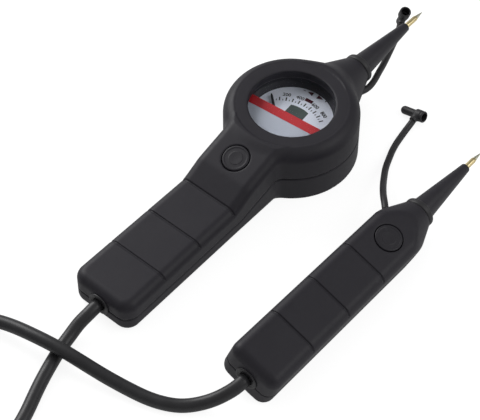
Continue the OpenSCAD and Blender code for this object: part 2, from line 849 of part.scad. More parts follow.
module load_ptc() color(bronze) for (i = [-1, 1])
    translate([i * resistor_pitch, -ptc_y, board_top]) cylinder(r = ptc_r - fit, h = ptc_t);

module board_parts() color(part_black) {
    translate([-chip_w / 2, -chip_y - chip_l / 2, board_top]) cube([chip_w, chip_l, chip_t]);
    for (s = [-1, 1]) translate([s * resistor_pitch, -cap_can_y, board_top + cap_can_r])
        rotate([-90, 0, 0]) cylinder(r = cap_can_r - fit, h = cap_can_l, center = true);
}

// Buttons and what is under them, built in a button's own frame
module button_solid() {
    translate([0, 0, -button_deep]) cylinder(d = button_d, h = button_deep + button_proud);
    translate([0, 0, -skin_t - flange_gap - flange_t]) cylinder(r = flange_r, h = flange_t);
    translate([0, 0, -skin_t - flange_gap - flange_t - stem_l]) cylinder(r = stem_r, h = stem_l);
}

flange_z = -skin_t - flange_gap - flange_t;
switch_z = flange_z - spring_l - 2 * spring_gap;
module spring_solid() {
    ring(spring_r, spring_r - spring_w, switch_z + spring_gap, flange_z - spring_gap);
}

module switch_solid() {
    difference() {
        translate([-switch_w / 2, -switch_w / 2, switch_z - switch_t])
            cube([switch_w, switch_w, switch_t]);
        translate([0, 0, switch_z - socket_deep]) cylinder(r = stem_r + stem_clear,
            h = socket_deep + over);
    }
}

module main_button() color(button_grey) at_button() button_solid();
module main_button_spring() color(steel) at_button() spring_solid();
module main_switch() color(part_black) at_button() switch_solid();

// Wedge between the board and the sloping switch
module switch_bracket() color(part_black) {
    foot = switch_z - switch_t;
    c = cos(shoulder_a);
    s = sin(shoulder_a);
    h = bracket_w / 2;
    side_bar([[-button_y - h * c - foot * s, board_top], [-button_y + h * c - foot * s, board_top],
              [-button_y + h * c - foot * s, button_z + h * s + foot * c],
              [-button_y - h * c - foot * s, button_z - h * s + foot * c]], bracket_w);
}

// Probe pieces, built on the Y axis from the face of the nose
module cone_solid(l, back) {
    difference() {
        union() {
            along_y(-back) cylinder(d = cone_d1, h = back + collar_t + cone_base_l);
            along_y(collar_t + cone_base_l) cylinder(d1 = cone_d1, d2 = cone_d2, h = l);
        }
        along_y(-back - over) cylinder(r = shank_r + run_fit,
            h = back + collar_t + cone_base_l + l + 2 * over);
    }
}

module collar_solid() {
    rotate([-90, 0, 0]) rotate_extrude() polygon(concat(
        [[cone_d1 / 2 + run_fit, 0]],
        arc([collar_r - collar_round, collar_round], collar_round, -90, 0, 5),
        arc([collar_r - collar_round, collar_t - collar_round], collar_round, 0, 90, 5),
        [[cone_d1 / 2 + run_fit, collar_t]]));
}

module tip_solid(l, bare, back) {
    front = collar_t + cone_base_l + l;
    difference() {
        union() {
            along_y(-back) cylinder(r = shank_r, h = back + front);
            along_y(front) cylinder(d = tip_d, h = bare - point_step);
            along_y(front + bare - point_step) cylinder(d1 = tip_d, r2 = point_r, h = point_step);
        }
        along_y(front + bare - point_in) cylinder(r = point_bore_r, h = point_in + over);
    }
}

module point_solid(l, bare) {
    front = collar_t + cone_base_l + l + bare;
    along_y(front - point_in) cylinder(r = point_bore_r - run_fit, h = point_in);
    along_y(front) cylinder(r1 = point_r, r2 = point_end_r, h = point_l);
}

module at_nose() {
    at_tip() translate([0, neck_y1, 0]) children();
}

module main_cone() color(part_black) at_nose() cone_solid(cone_l, spigot_l);
module main_collar() color(rubber_black) at_nose() collar_solid();
module main_tip() color(brass) at_nose() tip_solid(cone_l, tip_l, spigot_l);
module main_point() color(steel) at_nose() point_solid(cone_l, tip_l);

// Tail of the main grip
module gland_solid(in_l) {
    ring(gland_r, cable_d / 2 + run_fit, -in_l, 0);
    ring(gland_flange_r, cable_d / 2 + run_fit, 0, gland_proud);
    ring(gland_flange_r, cable_d / 2 + run_fit, -in_l - gland_flange_t, -in_l);
}

module at_tail() {
    translate([0, -tail_y, cable_z]) rotate([90, 0, 0]) children();
}

module main_gland() color(rubber_black) at_tail() gland_solid(wall + fit);
module main_cable_end() color(rubber_black) at_tail() translate([0, 0, gland_proud - cable_in])
    cylinder(d = cable_d, h = cable_in);

module main_clamp() color(part_black) difference() {
    translate([-clamp_w / 2, -clamp_y - clamp_l / 2, wall])
        cube([clamp_w, clamp_l, clamp_h + cable_z - wall]);
    translate([0, 0, cable_z]) along_y(-clamp_y - clamp_l)
        cylinder(d = cable_d + 2 * run_fit, h = 2 * clamp_l);
    for (s = [-1, 1]) translate([s * clamp_screw_x, -clamp_y, wall + over])
        cylinder(r = screw_r, h = far);
}

module main_clamp_screws() color(steel) for (s = [-1, 1])
    translate([s * clamp_screw_x, -clamp_y, cable_z + clamp_h])
        screw(screw_r - run_fit, screw_l, screw_head_r, screw_head_t);

module main_screws() color(steel) at_case_screws(at_seat) mirror([0, 0, 1])
    screw(case_screw_r - 2 * fit, case_screw_l, case_head_r, case_head_t);

// A cap that lies off its tip: a wide mouth, then a slimmer tail with a round end
module cap_solid() {
    end_z = cap_tail_r - cap_l;
    difference() {
        union() {
            translate([0, 0, -cap_mouth_l]) cylinder(d = cap_d, h = cap_mouth_l);
            translate([0, 0, -cap_mouth_l - cap_step_l])
                cylinder(r1 = cap_tail_r, d2 = cap_d, h = cap_step_l);
            translate([0, 0, end_z]) cylinder(r = cap_tail_r, h = -cap_mouth_l - end_z);
            translate([0, 0, end_z]) sphere(cap_tail_r);
        }
        translate([0, 0, -cap_mouth_l]) cylinder(d = cap_bore, h = cap_mouth_l + over);
        translate([0, 0, -cap_deep]) cylinder(d = cap_tail_bore, h = cap_deep);
    }
}

module main_tether() color(rubber_black) tube(main_tether_run, tether_d / 2, cord_sides);
module probe_tether() color(rubber_black) tube(probe_tether_run, tether_d / 2, cord_sides);
module main_cap() color(rubber_black) translate(main_cap_pos)
    rotate([0, main_cap_dir[0], main_cap_dir[1]]) cap_solid();
module probe_cap() color(rubber_black) translate(probe_cap_pos)
    rotate([0, probe_cap_dir[0], probe_cap_dir[1]]) cap_solid();

// Plain handset, in its own frame: the probe's axis is Y and the tail is at zero
module body2_form() {
    w = body2_w / 2 - edge2_r;
    top = body2_top - edge2_r;
    low = edge2_r - body2_keel;
    intersection() {
        hull() for (s = [-1, 1]) {
            ball(s * w, edge2_r, low, edge2_r);
            ball(s * w, edge2_r, top - tail2_drop, edge2_r);
            ball(s * w, body2_l + edge2_r, low, edge2_r);
            ball(s * w, body2_l + edge2_r, top, edge2_r);
        }
        along_y(0) cylinder(r1 = nose_r + body2_l * (nose_back_r - nose_r) / nose_back_l,
                            r2 = nose_r, h = body2_l);
    }
}

// Room over the two belly flats
module belly_room() {
    rise = body2_w * tan(belly_a);
    rotate([90, 0, 0]) translate([0, 0, -far]) linear_extrude(height = 2 * far)
        polygon([[0, -body2_keel], [body2_w, rise - body2_keel], [body2_w, body2_w],
                 [-body2_w, body2_w], [-body2_w, rise - body2_keel]]);
}

module body2_hollow() {
    deep = skin_t - body2_keel;
    low = cavity2_x * tan(belly_a) + deep;
    in_x = cavity2_x - skin_t;
    translate([0, cavity2_y1, 0]) rotate([90, 0, 0]) linear_extrude(height = cavity2_y1 - wall)
        polygon([[-in_x, cavity2_top], [-cavity2_x, cavity2_top - skin_t], [-cavity2_x, low], [0, deep],
                 [cavity2_x, low], [cavity2_x, cavity2_top - skin_t], [in_x, cavity2_top]]);
    along_y(cavity2_y1 - over) cylinder(d = cone_d1 + fit, h = body2_l - cavity2_y1 + 2 * over);
    along_y(-over) cylinder(r = gland_r + fit, h = wall + 2 * over);
}

module at_screws2() {
    for (s = [-1, 1], y = screws2_y) translate([s * screws2_x, y, 0]) children();
}

module probe_bottom_shell() color(charcoal) at_probe() difference() {
    union() {
        difference() {
            intersection() {
                body2_form();
                belly_room();
                translate([-body2_w, -over, -body2_w]) cube([2 * body2_w, far, body2_w + seam2_z]);
            }
            body2_hollow();
        }
        intersection() {
            at_screws2() translate([0, 0, -body2_keel])
                cylinder(r = boss2_r, h = body2_keel + seam2_z);
            translate([0, 0, wall / 2]) belly_room();
        }
        intersection() {
            for (y = board2_post_y)
                translate([0, y, -body2_keel]) cylinder(r = board2_post_r, h = body2_keel + board2_z);
            translate([0, 0, wall / 2]) belly_room();
        }
    }
    at_screws2() translate([0, 0, -far]) cylinder(r = case_screw_r, h = far + over);
    at_screws2() translate([0, 0, -far]) cylinder(r = case_head_r + fit,
        h = far + seat2_z);
}

module probe_top_shell() color(charcoal) at_probe() difference() {
    union() {
        difference() {
            intersection() {
                body2_form();
                belly_room();
                translate([-body2_w, -over, seam2_z]) cube([2 * body2_w, far, body2_w]);
            }
            body2_hollow();
        }
        intersection() {
            at_screws2() translate([0, 0, seam2_z])
                cylinder(r = boss2_r, h = body2_top - skin_t / 2 - seam2_z);
            body2_form();
        }
    }
    translate([0, button2_y, body2_top - skin_t - over]) cylinder(r = hole_r, h = skin_t + 2 * over);
    for (i = [0:groove_count - 1]) translate([-body2_w / 2,
        groove2_y + i * groove2_pitch - groove_w / 2, body2_top - groove_deep])
            cube([body2_w, groove_w, edge2_r]);
    at_screws2() translate([0, 0, seam2_z - over]) cylinder(r = case_screw_r - 2 * fit,
        h = screw2_l - case_head_t);
    along_y(cavity2_y1) cylinder(d = cone_d1 + fit, h = body2_l);
}

module probe_button() color(button_grey) at_button2() button_solid();
module probe_button_spring() color(steel) at_button2() spring_solid();
module probe_switch() color(part_black) at_button2() {
    switch_solid();
    foot = switch_z - switch_t;
    base = board2_z + board_t - body2_top;
    translate([-bracket_w / 2, -bracket_w / 2, base]) cube([bracket_w, bracket_w, foot - base]);
}

module probe_board() color(board_green) at_probe()
    translate([-board2_w / 2, board2_y[0], board2_z])
        cube([board2_w, board2_y[1] - board2_y[0], board_t]);

module probe_resistors() color(part_beige) at_probe() for (i = [-1:1])
    translate([i * resistor_pitch, groove2_y + groove2_pitch, board2_z + board_t + resistor_r])
        rotate([-90, 0, 0]) cylinder(r = resistor_r, h = resistor_l, center = true);

module at_nose2() {
    at_probe() translate([0, body2_l, 0]) children();
}

module probe_cone() color(part_black) at_nose2() cone_solid(cone2_l, spigot_l);
module probe_collar() color(rubber_black) at_nose2() collar_solid();
module probe_tip() color(brass) at_nose2() tip_solid(cone2_l, tip2_l, spigot_l);
module probe_point() color(steel) at_nose2() point_solid(cone2_l, tip2_l);
module probe_gland() color(rubber_black) at_probe() rotate([90, 0, 0]) gland_solid(wall + fit);
module probe_cable_end() color(rubber_black) at_probe() rotate([90, 0, 0])
    translate([0, 0, gland_proud - cable_in]) cylinder(d = cable_d, h = cable_in);

module probe_screws() color(steel) at_probe() at_screws2()
    translate([0, 0, seat2_z]) mirror([0, 0, 1])
        screw(case_screw_r - 3 * fit, screw2_l, case_head_r, case_head_t);

// The cable: two free runs and one coil, spiralling in and out again in two layers
function coil_at(s) =
    let (mid = coil_turns / 2, f = s - mid, a = -360 * s,
         r = coil_r + coil_pitch * abs(f),
         climb = f < -0.25 ? 0 : f > 0.25 ? 1 : 0.5 + 0.5 * sin(360 * f))
    coil_c + [r * cos(a), r * sin(a), cable_d / 2 + coil_pitch * climb];
coil_steps = coil_turns * coil_rings;
coil_route = concat([coil_at(0) + [0, cable_d, 0]], [for (i = [0:coil_steps]) coil_at(i / coil_rings)],
                    [coil_at(coil_turns) + [0, cable_d, 0]]);
coil_gap = min([for (i = [0:coil_steps], j = [i + coil_rings / 2:coil_steps])
    norm(coil_at(i / coil_rings) - coil_at(j / coil_rings))]) - cable_d;
echo(coil_gap = coil_gap);

module cable_run() color(rubber_black) {
    tube(main_run, cable_d / 2, cord_sides);
    tube(probe_run, cable_d / 2, cord_sides);
}

module cable_coil() color(rubber_black) tube(coil_route, cable_d / 2, coil_sides);

main_bottom_shell();
main_top_shell();
main_gasket();
window_seal();
window_lens();
dial_surround();
dial_cover();
dial_band();
dial_plate();
display_window();
indicator_lenses();
display_board();
dial_carrier();
carrier_screws();
pointer();
pivot_shaft();
coil_former();
core_magnet();
yoke_ring();
movement_base();
movement_bridge();
pivot_bearings();
hairsprings();
main_board();
series_resistors();
load_ptc();
board_parts();
main_button();
main_button_spring();
main_switch();
switch_bracket();
main_cone();
main_collar();
main_tip();
main_point();
main_gland();
main_cable_end();
main_clamp();
main_clamp_screws();
main_screws();
main_tether();
main_cap();
probe_bottom_shell();
probe_top_shell();
probe_button();
probe_button_spring();
probe_switch();
probe_board();
probe_resistors();
probe_cone();
probe_collar();
probe_tip();
probe_point();
probe_gland();
probe_cable_end();
probe_screws();
probe_tether();
probe_cap();
cable_run();
cable_coil();
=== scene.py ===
"""Two-pole voltage tester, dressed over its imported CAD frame.

Lengths inside the shape code are millimetres in the CAD frame: the origin lies where the dial's
axis meets the flat back, +Y runs towards the main tip and +Z out of the dial.
"""
import logging
import math
from dataclasses import dataclass
from enum import Enum
from typing import Callable, Sequence

import bpy
import numpy as np
from mathutils import Matrix, Vector


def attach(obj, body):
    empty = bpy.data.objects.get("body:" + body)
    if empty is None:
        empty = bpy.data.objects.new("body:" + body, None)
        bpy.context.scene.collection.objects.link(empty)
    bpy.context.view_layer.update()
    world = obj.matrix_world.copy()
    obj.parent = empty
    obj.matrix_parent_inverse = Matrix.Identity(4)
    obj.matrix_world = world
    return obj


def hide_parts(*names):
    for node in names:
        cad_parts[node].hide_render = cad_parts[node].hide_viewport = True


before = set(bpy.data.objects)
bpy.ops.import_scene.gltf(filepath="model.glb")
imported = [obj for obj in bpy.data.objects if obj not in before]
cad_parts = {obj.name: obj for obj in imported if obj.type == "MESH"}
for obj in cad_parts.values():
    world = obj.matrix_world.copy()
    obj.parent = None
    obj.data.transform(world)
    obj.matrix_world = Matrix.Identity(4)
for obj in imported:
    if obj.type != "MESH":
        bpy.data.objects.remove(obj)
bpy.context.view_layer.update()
LOG = logging.getLogger("tester")
MM = 0.001
CASE = "case"
TURN = 2 * math.pi
Array = np.ndarray
Field = Callable[[Array, Array, Array], Array]
Pair = tuple[float, float]
Triple = tuple[float, float, float]
Piece = bpy.types.Object
Node = bpy.types.Node
Socket = bpy.types.NodeSocket
Tree = bpy.types.NodeTree
Material = bpy.types.Material


# Meshes
def link_object(name: str, data: bpy.types.ID) -> Piece:
    """A new object that holds the given data, linked to the scene."""
    thing = bpy.data.objects.new(name, data)
    bpy.context.scene.collection.objects.link(thing)
    return thing


def place_mesh(name: str, points: Array, faces: Array, smooth: bool = True) -> Piece:
    """Puts a surface into a new object at the origin.

    Args:
        name: the piece's name.
        points: n by 3 places in millimetres.
        faces: m by 3 or m by 4 point numbers, turning outwards.
        smooth: whether the shading runs smoothly over the faces.

    Returns:
        The new object, linked to the scene.
    """
    mesh = bpy.data.meshes.new(name)
    sides = faces.shape[1]
    mesh.vertices.add(len(points))
    mesh.vertices.foreach_set("co", (points * MM).astype(np.float32).ravel())
    mesh.loops.add(faces.size)
    mesh.loops.foreach_set("vertex_index", faces.astype(np.int32).ravel())
    mesh.polygons.add(len(faces))
    mesh.polygons.foreach_set("loop_start", np.arange(len(faces), dtype=np.int32) * sides)
    mesh.polygons.foreach_set("loop_total", np.full(len(faces), sides, dtype=np.int32))
    mesh.polygons.foreach_set("use_smooth", np.full(len(faces), smooth))
    mesh.update(calc_edges=True)
    mesh.validate()
    return link_object(name, mesh)


def grid_faces(rows: int, columns: int) -> Array:
    """Quads over a grid of points whose columns close into rings.

    Args:
        rows: number of rings.
        columns: points in each ring.

    Returns:
        Quads as point numbers.
    """
    i, j = np.meshgrid(np.arange(rows - 1), np.arange(columns), indexing="ij")
    a = i * columns + j
    b = i * columns + (j + 1) % columns
    return np.stack([a, b, b + columns, a + columns], -1).reshape(-1, 4)


def tube(name: str, rings: Array, poles: Array, smooth: bool = True) -> Piece:
    """Places a surface of rings, each end closed by a fan of triangles to its pole.

    Args:
        name: the piece's name.
        rings: n by m by 3 places, n rings of m points.
        poles: the two end points.
        smooth: whether the shading runs smoothly over the faces.

    Returns:
        The closed piece, all of it in triangles.
    """
    count, sides = rings.shape[:2]
    quads = grid_faces(count, sides)
    ring = np.arange(sides)
    after = (ring + 1) % sides
    last = (count - 1) * sides
    pole = np.full(sides, count * sides)
    faces = np.concatenate([quads[:, [0, 1, 2]], quads[:, [0, 2, 3]],
                            np.stack([after, ring, pole], -1),
                            np.stack([last + ring, last + after, pole + 1], -1)])
    return place_mesh(name, np.concatenate([rings.reshape(-1, 3), poles]), faces, smooth)


def rounded(profile: Sequence[Sequence[float]], steps: int = 5) -> Array:
    """Rounds the corners of an open profile.

    Each entry is (radius, height, rounding). A corner with rounding r is replaced by a circular
    arc that touches both of its sides at r over the tangent of half the corner's angle.

    Args:
        profile: the corners in order.
        steps: parts of each arc.

    Returns:
        The points of the rounded profile.
    """
    out: list[Array] = []
    corners = [np.array(p[:2], float) for p in profile]
    for i, (corner, entry) in enumerate(zip(corners, profile)):
        r = entry[2] if len(entry) > 2 else 0.0
        if r <= 0 or i in (0, len(profile) - 1):
            out.append(corner[None])
            continue
        before, after = corners[i - 1] - corner, corners[i + 1] - corner
        lb, la = np.linalg.norm(before), np.linalg.norm(after)
        before, after = before / lb, after / la
        half = math.acos(float(np.clip(before @ after, -1, 1))) / 2
        reach = min(r / math.tan(half), 0.49 * lb, 0.49 * la)
        r = reach * math.tan(half)
        centre = corner + (before + after) / np.linalg.norm(before + after) * r / math.sin(half)
        a, b = corner + before * reach - centre, corner + after * reach - centre
        turn = math.atan2(a[0] * b[1] - a[1] * b[0], float(a @ b))
        t = np.linspace(0, turn, steps + 1)[:, None]
        side = np.array([-a[1], a[0]])
        out.append(centre + a * np.cos(t) + side * np.sin(t))
    return np.concatenate(out)


@dataclass(frozen=True)
class Seat:
    """A place on the object: an origin and three directions, in millimetres."""

    origin: Triple = (0.0, 0.0, 0.0)
    turn: tuple[Triple, ...] = ((1, 0, 0), (0, 1, 0), (0, 0, 1))

    def world(self, points: Array) -> Array:
        """Moves local points to the frame: origin plus each coordinate times its direction."""
        return points @ np.array(self.turn, float) + np.array(self.origin, float)

    def local(self, points: Array) -> Array:
        """Moves frame points to this seat's own coordinates."""
        return (points - np.array(self.origin, float)) @ np.array(self.turn, float).T

    def then(self, x: float, y: float, z: float) -> "Seat":
        """The same directions with the origin moved by local x, y, z."""
        moved = self.world(np.array([[x, y, z]], float))[0]
        return Seat(tuple(moved), self.turn)

    def along_y(self) -> "Seat":
        """The seat whose third direction is this one's second, for pieces turned on Y."""
        x, y, z = (np.array(v, float) for v in self.turn)
        return Seat(self.origin, (tuple(x), tuple(-z), tuple(y)))


def seat_about(origin: Sequence[float], *turns: tuple[str, float]) -> Seat:
    """A seat turned about frame axes.

    Args:
        origin: the seat's origin.
        turns: axes with their degrees; the last turn happens first.

    Returns:
        The seat, whose directions are the columns of the turns' product.
    """
    m = Matrix.Identity(3)
    for axis, degrees in turns:
        m = m @ Matrix.Rotation(math.radians(degrees), 3, axis)
    return Seat(tuple(float(v) for v in origin), tuple(tuple(m.col[i]) for i in range(3)))


def lathe(name: str, profile: Array, seat: Seat, sides: int = 96, smooth: bool = True) -> Piece:
    """Turns a profile of (radius, height) round a seat's third direction.

    The surface is (r cos a, r sin a, h) for each profile point and each angle a. A profile that
    starts and ends on the axis closes there in poles; any other one closes on itself.

    Args:
        name: the piece's name.
        profile: points that run anticlockwise round the section, seen with radius to the right.
        seat: where the piece stands.
        sides: number of sides round the axis.
        smooth: whether the shading runs smoothly over the faces.

    Returns:
        The piece.
    """
    hollow = profile[0, 0] > 1e-6
    body = profile if hollow else profile[1:-1]
    angle = np.linspace(0, TURN, sides, endpoint=False)
    rings = seat.world(np.stack([body[:, :1] * np.cos(angle), body[:, :1] * np.sin(angle),
                                 np.repeat(body[:, 1:], sides, 1)], -1))
    if hollow:
        faces = grid_faces(len(body) + 1, sides) % (len(body) * sides)
        return place_mesh(name, rings.reshape(-1, 3), faces, smooth)
    poles = seat.world(np.array([[0, 0, profile[0, 1]], [0, 0, profile[-1, 1]]]))
    return tube(name, rings, poles, smooth)


def spline(points: Array, spacing: float) -> Array:
    """Points at even distances on the natural cubic curve through the given points.

    The curve's second derivatives solve the usual tridiagonal system over chord lengths.

    Args:
        points: the route's points.
        spacing: distance between the points that come out.

    Returns:
        The even points.
    """
    span = np.linalg.norm(np.diff(points, axis=0), axis=1)
    at = np.concatenate([[0], np.cumsum(span)])
    n = len(points)
    system = np.eye(n)
    right = np.zeros((n, 3))
    k = np.arange(1, n - 1)
    system[k, k - 1] = span[:-1]
    system[k, k] = 2 * (span[:-1] + span[1:])
    system[k, k + 1] = span[1:]
    slope = np.diff(points, axis=0) / span[:, None]
    right[1:-1] = 6 * np.diff(slope, axis=0)
    bend = np.linalg.solve(system, right)

    def curve(t: Array) -> Array:
        """Places on the curve at lengths t along the chords."""
        i = np.clip(np.searchsorted(at, t, side="right") - 1, 0, n - 2)
        h = span[i][:, None]
        a, b = (at[i + 1] - t)[:, None], (t - at[i])[:, None]
        return (bend[i] * a ** 3 + bend[i + 1] * b ** 3) / (6 * h) + \
            (points[i] / h - bend[i] * h / 6) * a + (points[i + 1] / h - bend[i + 1] * h / 6) * b

    fine = curve(np.linspace(0, at[-1], 6000))
    run = np.concatenate([[0], np.cumsum(np.linalg.norm(np.diff(fine, axis=0), axis=1))])
    even = np.linspace(0, run[-1], max(8, int(round(run[-1] / spacing))))
    return np.stack([np.interp(even, run, fine[:, d]) for d in range(3)], -1)


def sweep(name: str, path: Array, radius: float, sides: int = 24) -> Piece:
    """Carries a circle along a path.

    Every ring is path + r (cos a side - sin a up), where side is square to the tangent and to Z,
    and up is square to both.

    Args:
        name: the piece's name.
        path: centre of each ring.
        radius: radius of the rings.
        sides: number of sides.

    Returns:
        The tube, closed at both ends.
    """
    tangent = np.gradient(path, axis=0)
    tangent /= np.linalg.norm(tangent, axis=1)[:, None]
    side = np.cross(tangent, [0.0, 0.0, 1.0])
    side /= np.linalg.norm(side, axis=1)[:, None]
    up = np.cross(side, tangent)
    angle = np.linspace(0, TURN, sides, endpoint=False)[None, :, None]
    rings = path[:, None] + radius * (np.cos(angle) * side[:, None] - np.sin(angle) * up[:, None])
    return tube(name, rings, path[[0, -1]])


def flat_piece(name: str, outline: Array, low: float, high: float, seat: Seat) -> Piece:
    """A plate whose lids fan out from the outline's mean point, with a straight wall.

    Args:
        name: the piece's name.
        outline: star-shaped outline, anticlockwise.
        low: height of the lower lid.
        high: height of the upper lid.
        seat: where the piece stands.

    Returns:
        The plate, shaded flat.
    """
    rings = np.stack([np.c_[outline, np.full(len(outline), z)] for z in (low, high)])
    return tube(name, seat.world(rings), seat.world(rings.mean(1)), smooth=False)


# Level-set shapes
def soft_min(a: Array, b: Array, k: float) -> Array:
    """Union of two distance fields with a fillet about k wide where they meet."""
    h = np.clip(0.5 + 0.5 * (b - a) / k, 0, 1)
    return b * (1 - h) + a * h - k * h * (1 - h)


def soft_max(a: Array, b: Array, k: float) -> Array:
    """Intersection of two distance fields with a rounded edge about k wide."""
    return -soft_min(-a, -b, k)


def box_field(qs: Sequence[Array], r: float) -> Array:
    """Distance to a box whose edges are rounded by r, from each side's signed distance less r."""
    outside = np.sqrt(sum(np.maximum(q, 0) ** 2 for q in qs))
    inside = np.minimum(np.maximum.reduce(list(np.broadcast_arrays(*qs))), 0)
    return outside + inside - r


EDGES = [(a, b) for a in range(8) for b in range(a + 1, 8) if bin(a ^ b).count("1") == 1]


def corner(number: int) -> Array:
    """Offsets of one of a cell's eight corners, from the bits of its number."""
    return np.array([number & 1, number >> 1 & 1, number >> 2 & 1])


def surface_of(name: str, shape: Field, axes: Sequence[Array], seat: Seat) -> Piece:
    """Meshes the surface where a field is zero.

    Each grid cell that the surface crosses gets one point, the mean of the crossings on its
    edges; each grid edge that is crossed gets a quad between the four cells round it. Two
    Newton steps along the field's gradient then draw the points on to the surface.

    Args:
        name: the piece's name.
        shape: field of the solid, below zero inside.
        axes: grid lines along X, Y and Z.
        seat: where the piece stands.

    Returns:
        The closed surface as a piece.
    """
    grids = np.meshgrid(*[a.astype(np.float32) for a in axes], indexing="ij")
    values = shape(*grids).astype(np.float32)
    inside = values < 0
    total = sum(inside[tuple(slice(c, n - 1 + c) for c, n in zip(corner(k), values.shape))]
                .astype(np.int8) for k in range(8))
    active = (total > 0) & (total < 8)
    number = np.full(active.shape, -1, np.int64)
    cells = np.argwhere(active)
    number[active] = np.arange(len(cells))
    centre, count = np.zeros((len(cells), 3)), np.zeros((len(cells), 1))
    for a, b in EDGES:
        pa, pb = cells + corner(a), cells + corner(b)
        fa, fb = values[tuple(pa.T)], values[tuple(pb.T)]
        crossed = (fa < 0) != (fb < 0)
        t = np.where(crossed, fa / np.where(crossed, fa - fb, 1), 0)[:, None]
        centre += np.where(crossed[:, None], pa + t * (pb - pa), 0)
        count += crossed[:, None]
    centre /= count
    points = np.stack([np.interp(centre[:, d], np.arange(len(axes[d])), axes[d])
                       for d in range(3)], -1)
    quads = []
    for d in range(3):
        e, f = (d + 1) % 3, (d + 2) % 3
        near = np.take(inside, range(inside.shape[d] - 1), d)
        change = near != np.take(inside, range(1, inside.shape[d]), d)
        spots = np.argwhere(change)
        keep = (spots[:, e] > 0) & (spots[:, f] > 0) & (spots[:, e] < inside.shape[e] - 1) \
            & (spots[:, f] < inside.shape[f] - 1)
        spots = spots[keep]
        steps = np.zeros((4, 3), int)
        steps[1, e] = steps[2, e] = -1
        steps[2, f] = steps[3, f] = -1
        ring = np.stack([number[tuple((spots + s).T)] for s in steps], -1)
        outward = near[tuple(spots.T)]
        quads.append(np.where(outward[:, None], ring, ring[:, ::-1]))
    step, least_slope, pull = 0.05, 0.25, 0.3
    for _ in range(2):
        x, y, z = points.T
        value = shape(x, y, z)
        slope = np.stack([shape(x + step, y, z) - shape(x - step, y, z),
                          shape(x, y + step, z) - shape(x, y - step, z),
                          shape(x, y, z + step) - shape(x, y, z - step)], -1) / (2 * step)
        size = np.maximum((slope ** 2).sum(-1), least_slope)
        points = points - np.clip(value / size, -pull, pull)[:, None] * slope
    return place_mesh(name, seat.world(points), np.concatenate(quads))


def lines(low: float, high: float, step: float, fine: Sequence[Pair] = (),
          fine_step: float = 0.25) -> Array:
    """Grid lines at an even step, closer together inside the given stretches.

    Args:
        low: the first line.
        high: the last line is here or up to one step beyond.
        step: distance between lines.
        fine: stretches with closer lines, as (from, to).
        fine_step: distance between lines there.

    Returns:
        The lines in rising order.
    """
    marks = np.arange(low, high + step, step)
    for a, b in fine:
        marks = marks[(marks < a - 0.3 * step) | (marks > b + 0.3 * step)]
    parts = [np.arange(a, b + fine_step / 2, fine_step) for a, b in fine]
    return np.unique(np.concatenate([marks, *parts]))


# Finishes
class Texture(Enum):
    """Kinds of surface that a finish can have."""

    MOULDED = "moulded"
    RUBBER = "rubber"
    BRUSHED = "brushed"
    PRINTED = "printed"


def feed(tree: Tree, node: Node, inputs: dict[int | str, object]) -> None:
    """Feeds a node's inputs.

    Args:
        tree: the node's tree.
        node: the node.
        inputs: for each input a socket to link to it, or its number or colour.
    """
    for key, value in inputs.items():
        if isinstance(value, Socket):
            tree.links.new(value, node.inputs[key])
        else:
            node.inputs[key].default_value = value


def add_node(tree: Tree, kind: str, inputs: dict[int | str, object] | None = None) -> Node:
    """Adds a shader node of a kind, named without its usual first words, and feeds it."""
    node = tree.nodes.new(f"ShaderNode{kind}")
    feed(tree, node, inputs or {})
    return node


def math_node(tree: Tree, operation: str, a: object, b: object, clamp: bool = False) -> Socket:
    """The result of a math node that two sockets or numbers feed."""
    node = add_node(tree, "Math", {0: a, 1: b})
    node.operation = operation
    node.use_clamp = clamp
    return node.outputs[0]


def noise(tree: Tree, place: Socket, scale: object, detail: float, rough: float = 0.5) -> Socket:
    """The factor of a noise texture on a place socket."""
    return add_node(tree, "TexNoise", {"Vector": place, "Scale": scale, "Detail": detail,
                                       "Roughness": rough}).outputs[0]


def object_place(tree: Tree) -> Socket:
    """The place on the piece, in Object coordinates."""
    return add_node(tree, "TexCoord").outputs["Object"]


def new_material(name: str) -> tuple[Material, Tree]:
    """A new material with its node tree."""
    material = bpy.data.materials.new(name)
    material.use_nodes = True
    return material, material.node_tree


def wire_grain(tree: Tree, given: dict[str, Socket]) -> dict[str, Socket]:
    """Fine moulded grain: two noises of different size added as a height, one as a mask.

    Args:
        tree: the group's tree.
        given: the group's inputs.

    Returns:
        The socket for each of the group's outputs.
    """
    spread = add_node(tree, "CombineXYZ", {0: 1.0, 1: given["Stretch"], 2: 1.0})
    wide = add_node(tree, "VectorMath", {0: object_place(tree), 1: spread.outputs[0]})
    wide.operation = "MULTIPLY"
    fine = noise(tree, wide.outputs[0], given["Scale"], 3.0, 0.6)
    coarse = noise(tree, wide.outputs[0], math_node(tree, "MULTIPLY", given["Scale"], 0.22), 2.0)
    height = math_node(tree, "ADD", fine, math_node(tree, "MULTIPLY", coarse, 0.7))
    return {"Height": height, "Mask": coarse}


def wire_edge_highlight(tree: Tree, given: dict[str, Socket]) -> dict[str, Socket]:
    """Painted edge highlight: a curved surface's sharp places, broken up by a noise, times an
    amount; the finish lightens them to stand in for light catching the edges.

    Args:
        tree: the group's tree.
        given: the group's inputs.

    Returns:
        The socket for each of the group's outputs.
    """
    blunt = 0.53
    bend = add_node(tree, "NewGeometry").outputs["Pointiness"]
    over = math_node(tree, "SUBTRACT", bend, blunt)
    sharp = math_node(tree, "MULTIPLY", over, given["Sharpness"], True)
    broken = math_node(tree, "MULTIPLY", sharp, noise(tree, object_place(tree), 260.0, 4.0))
    return {"Mask": math_node(tree, "MULTIPLY", broken, given["Amount"], True)}


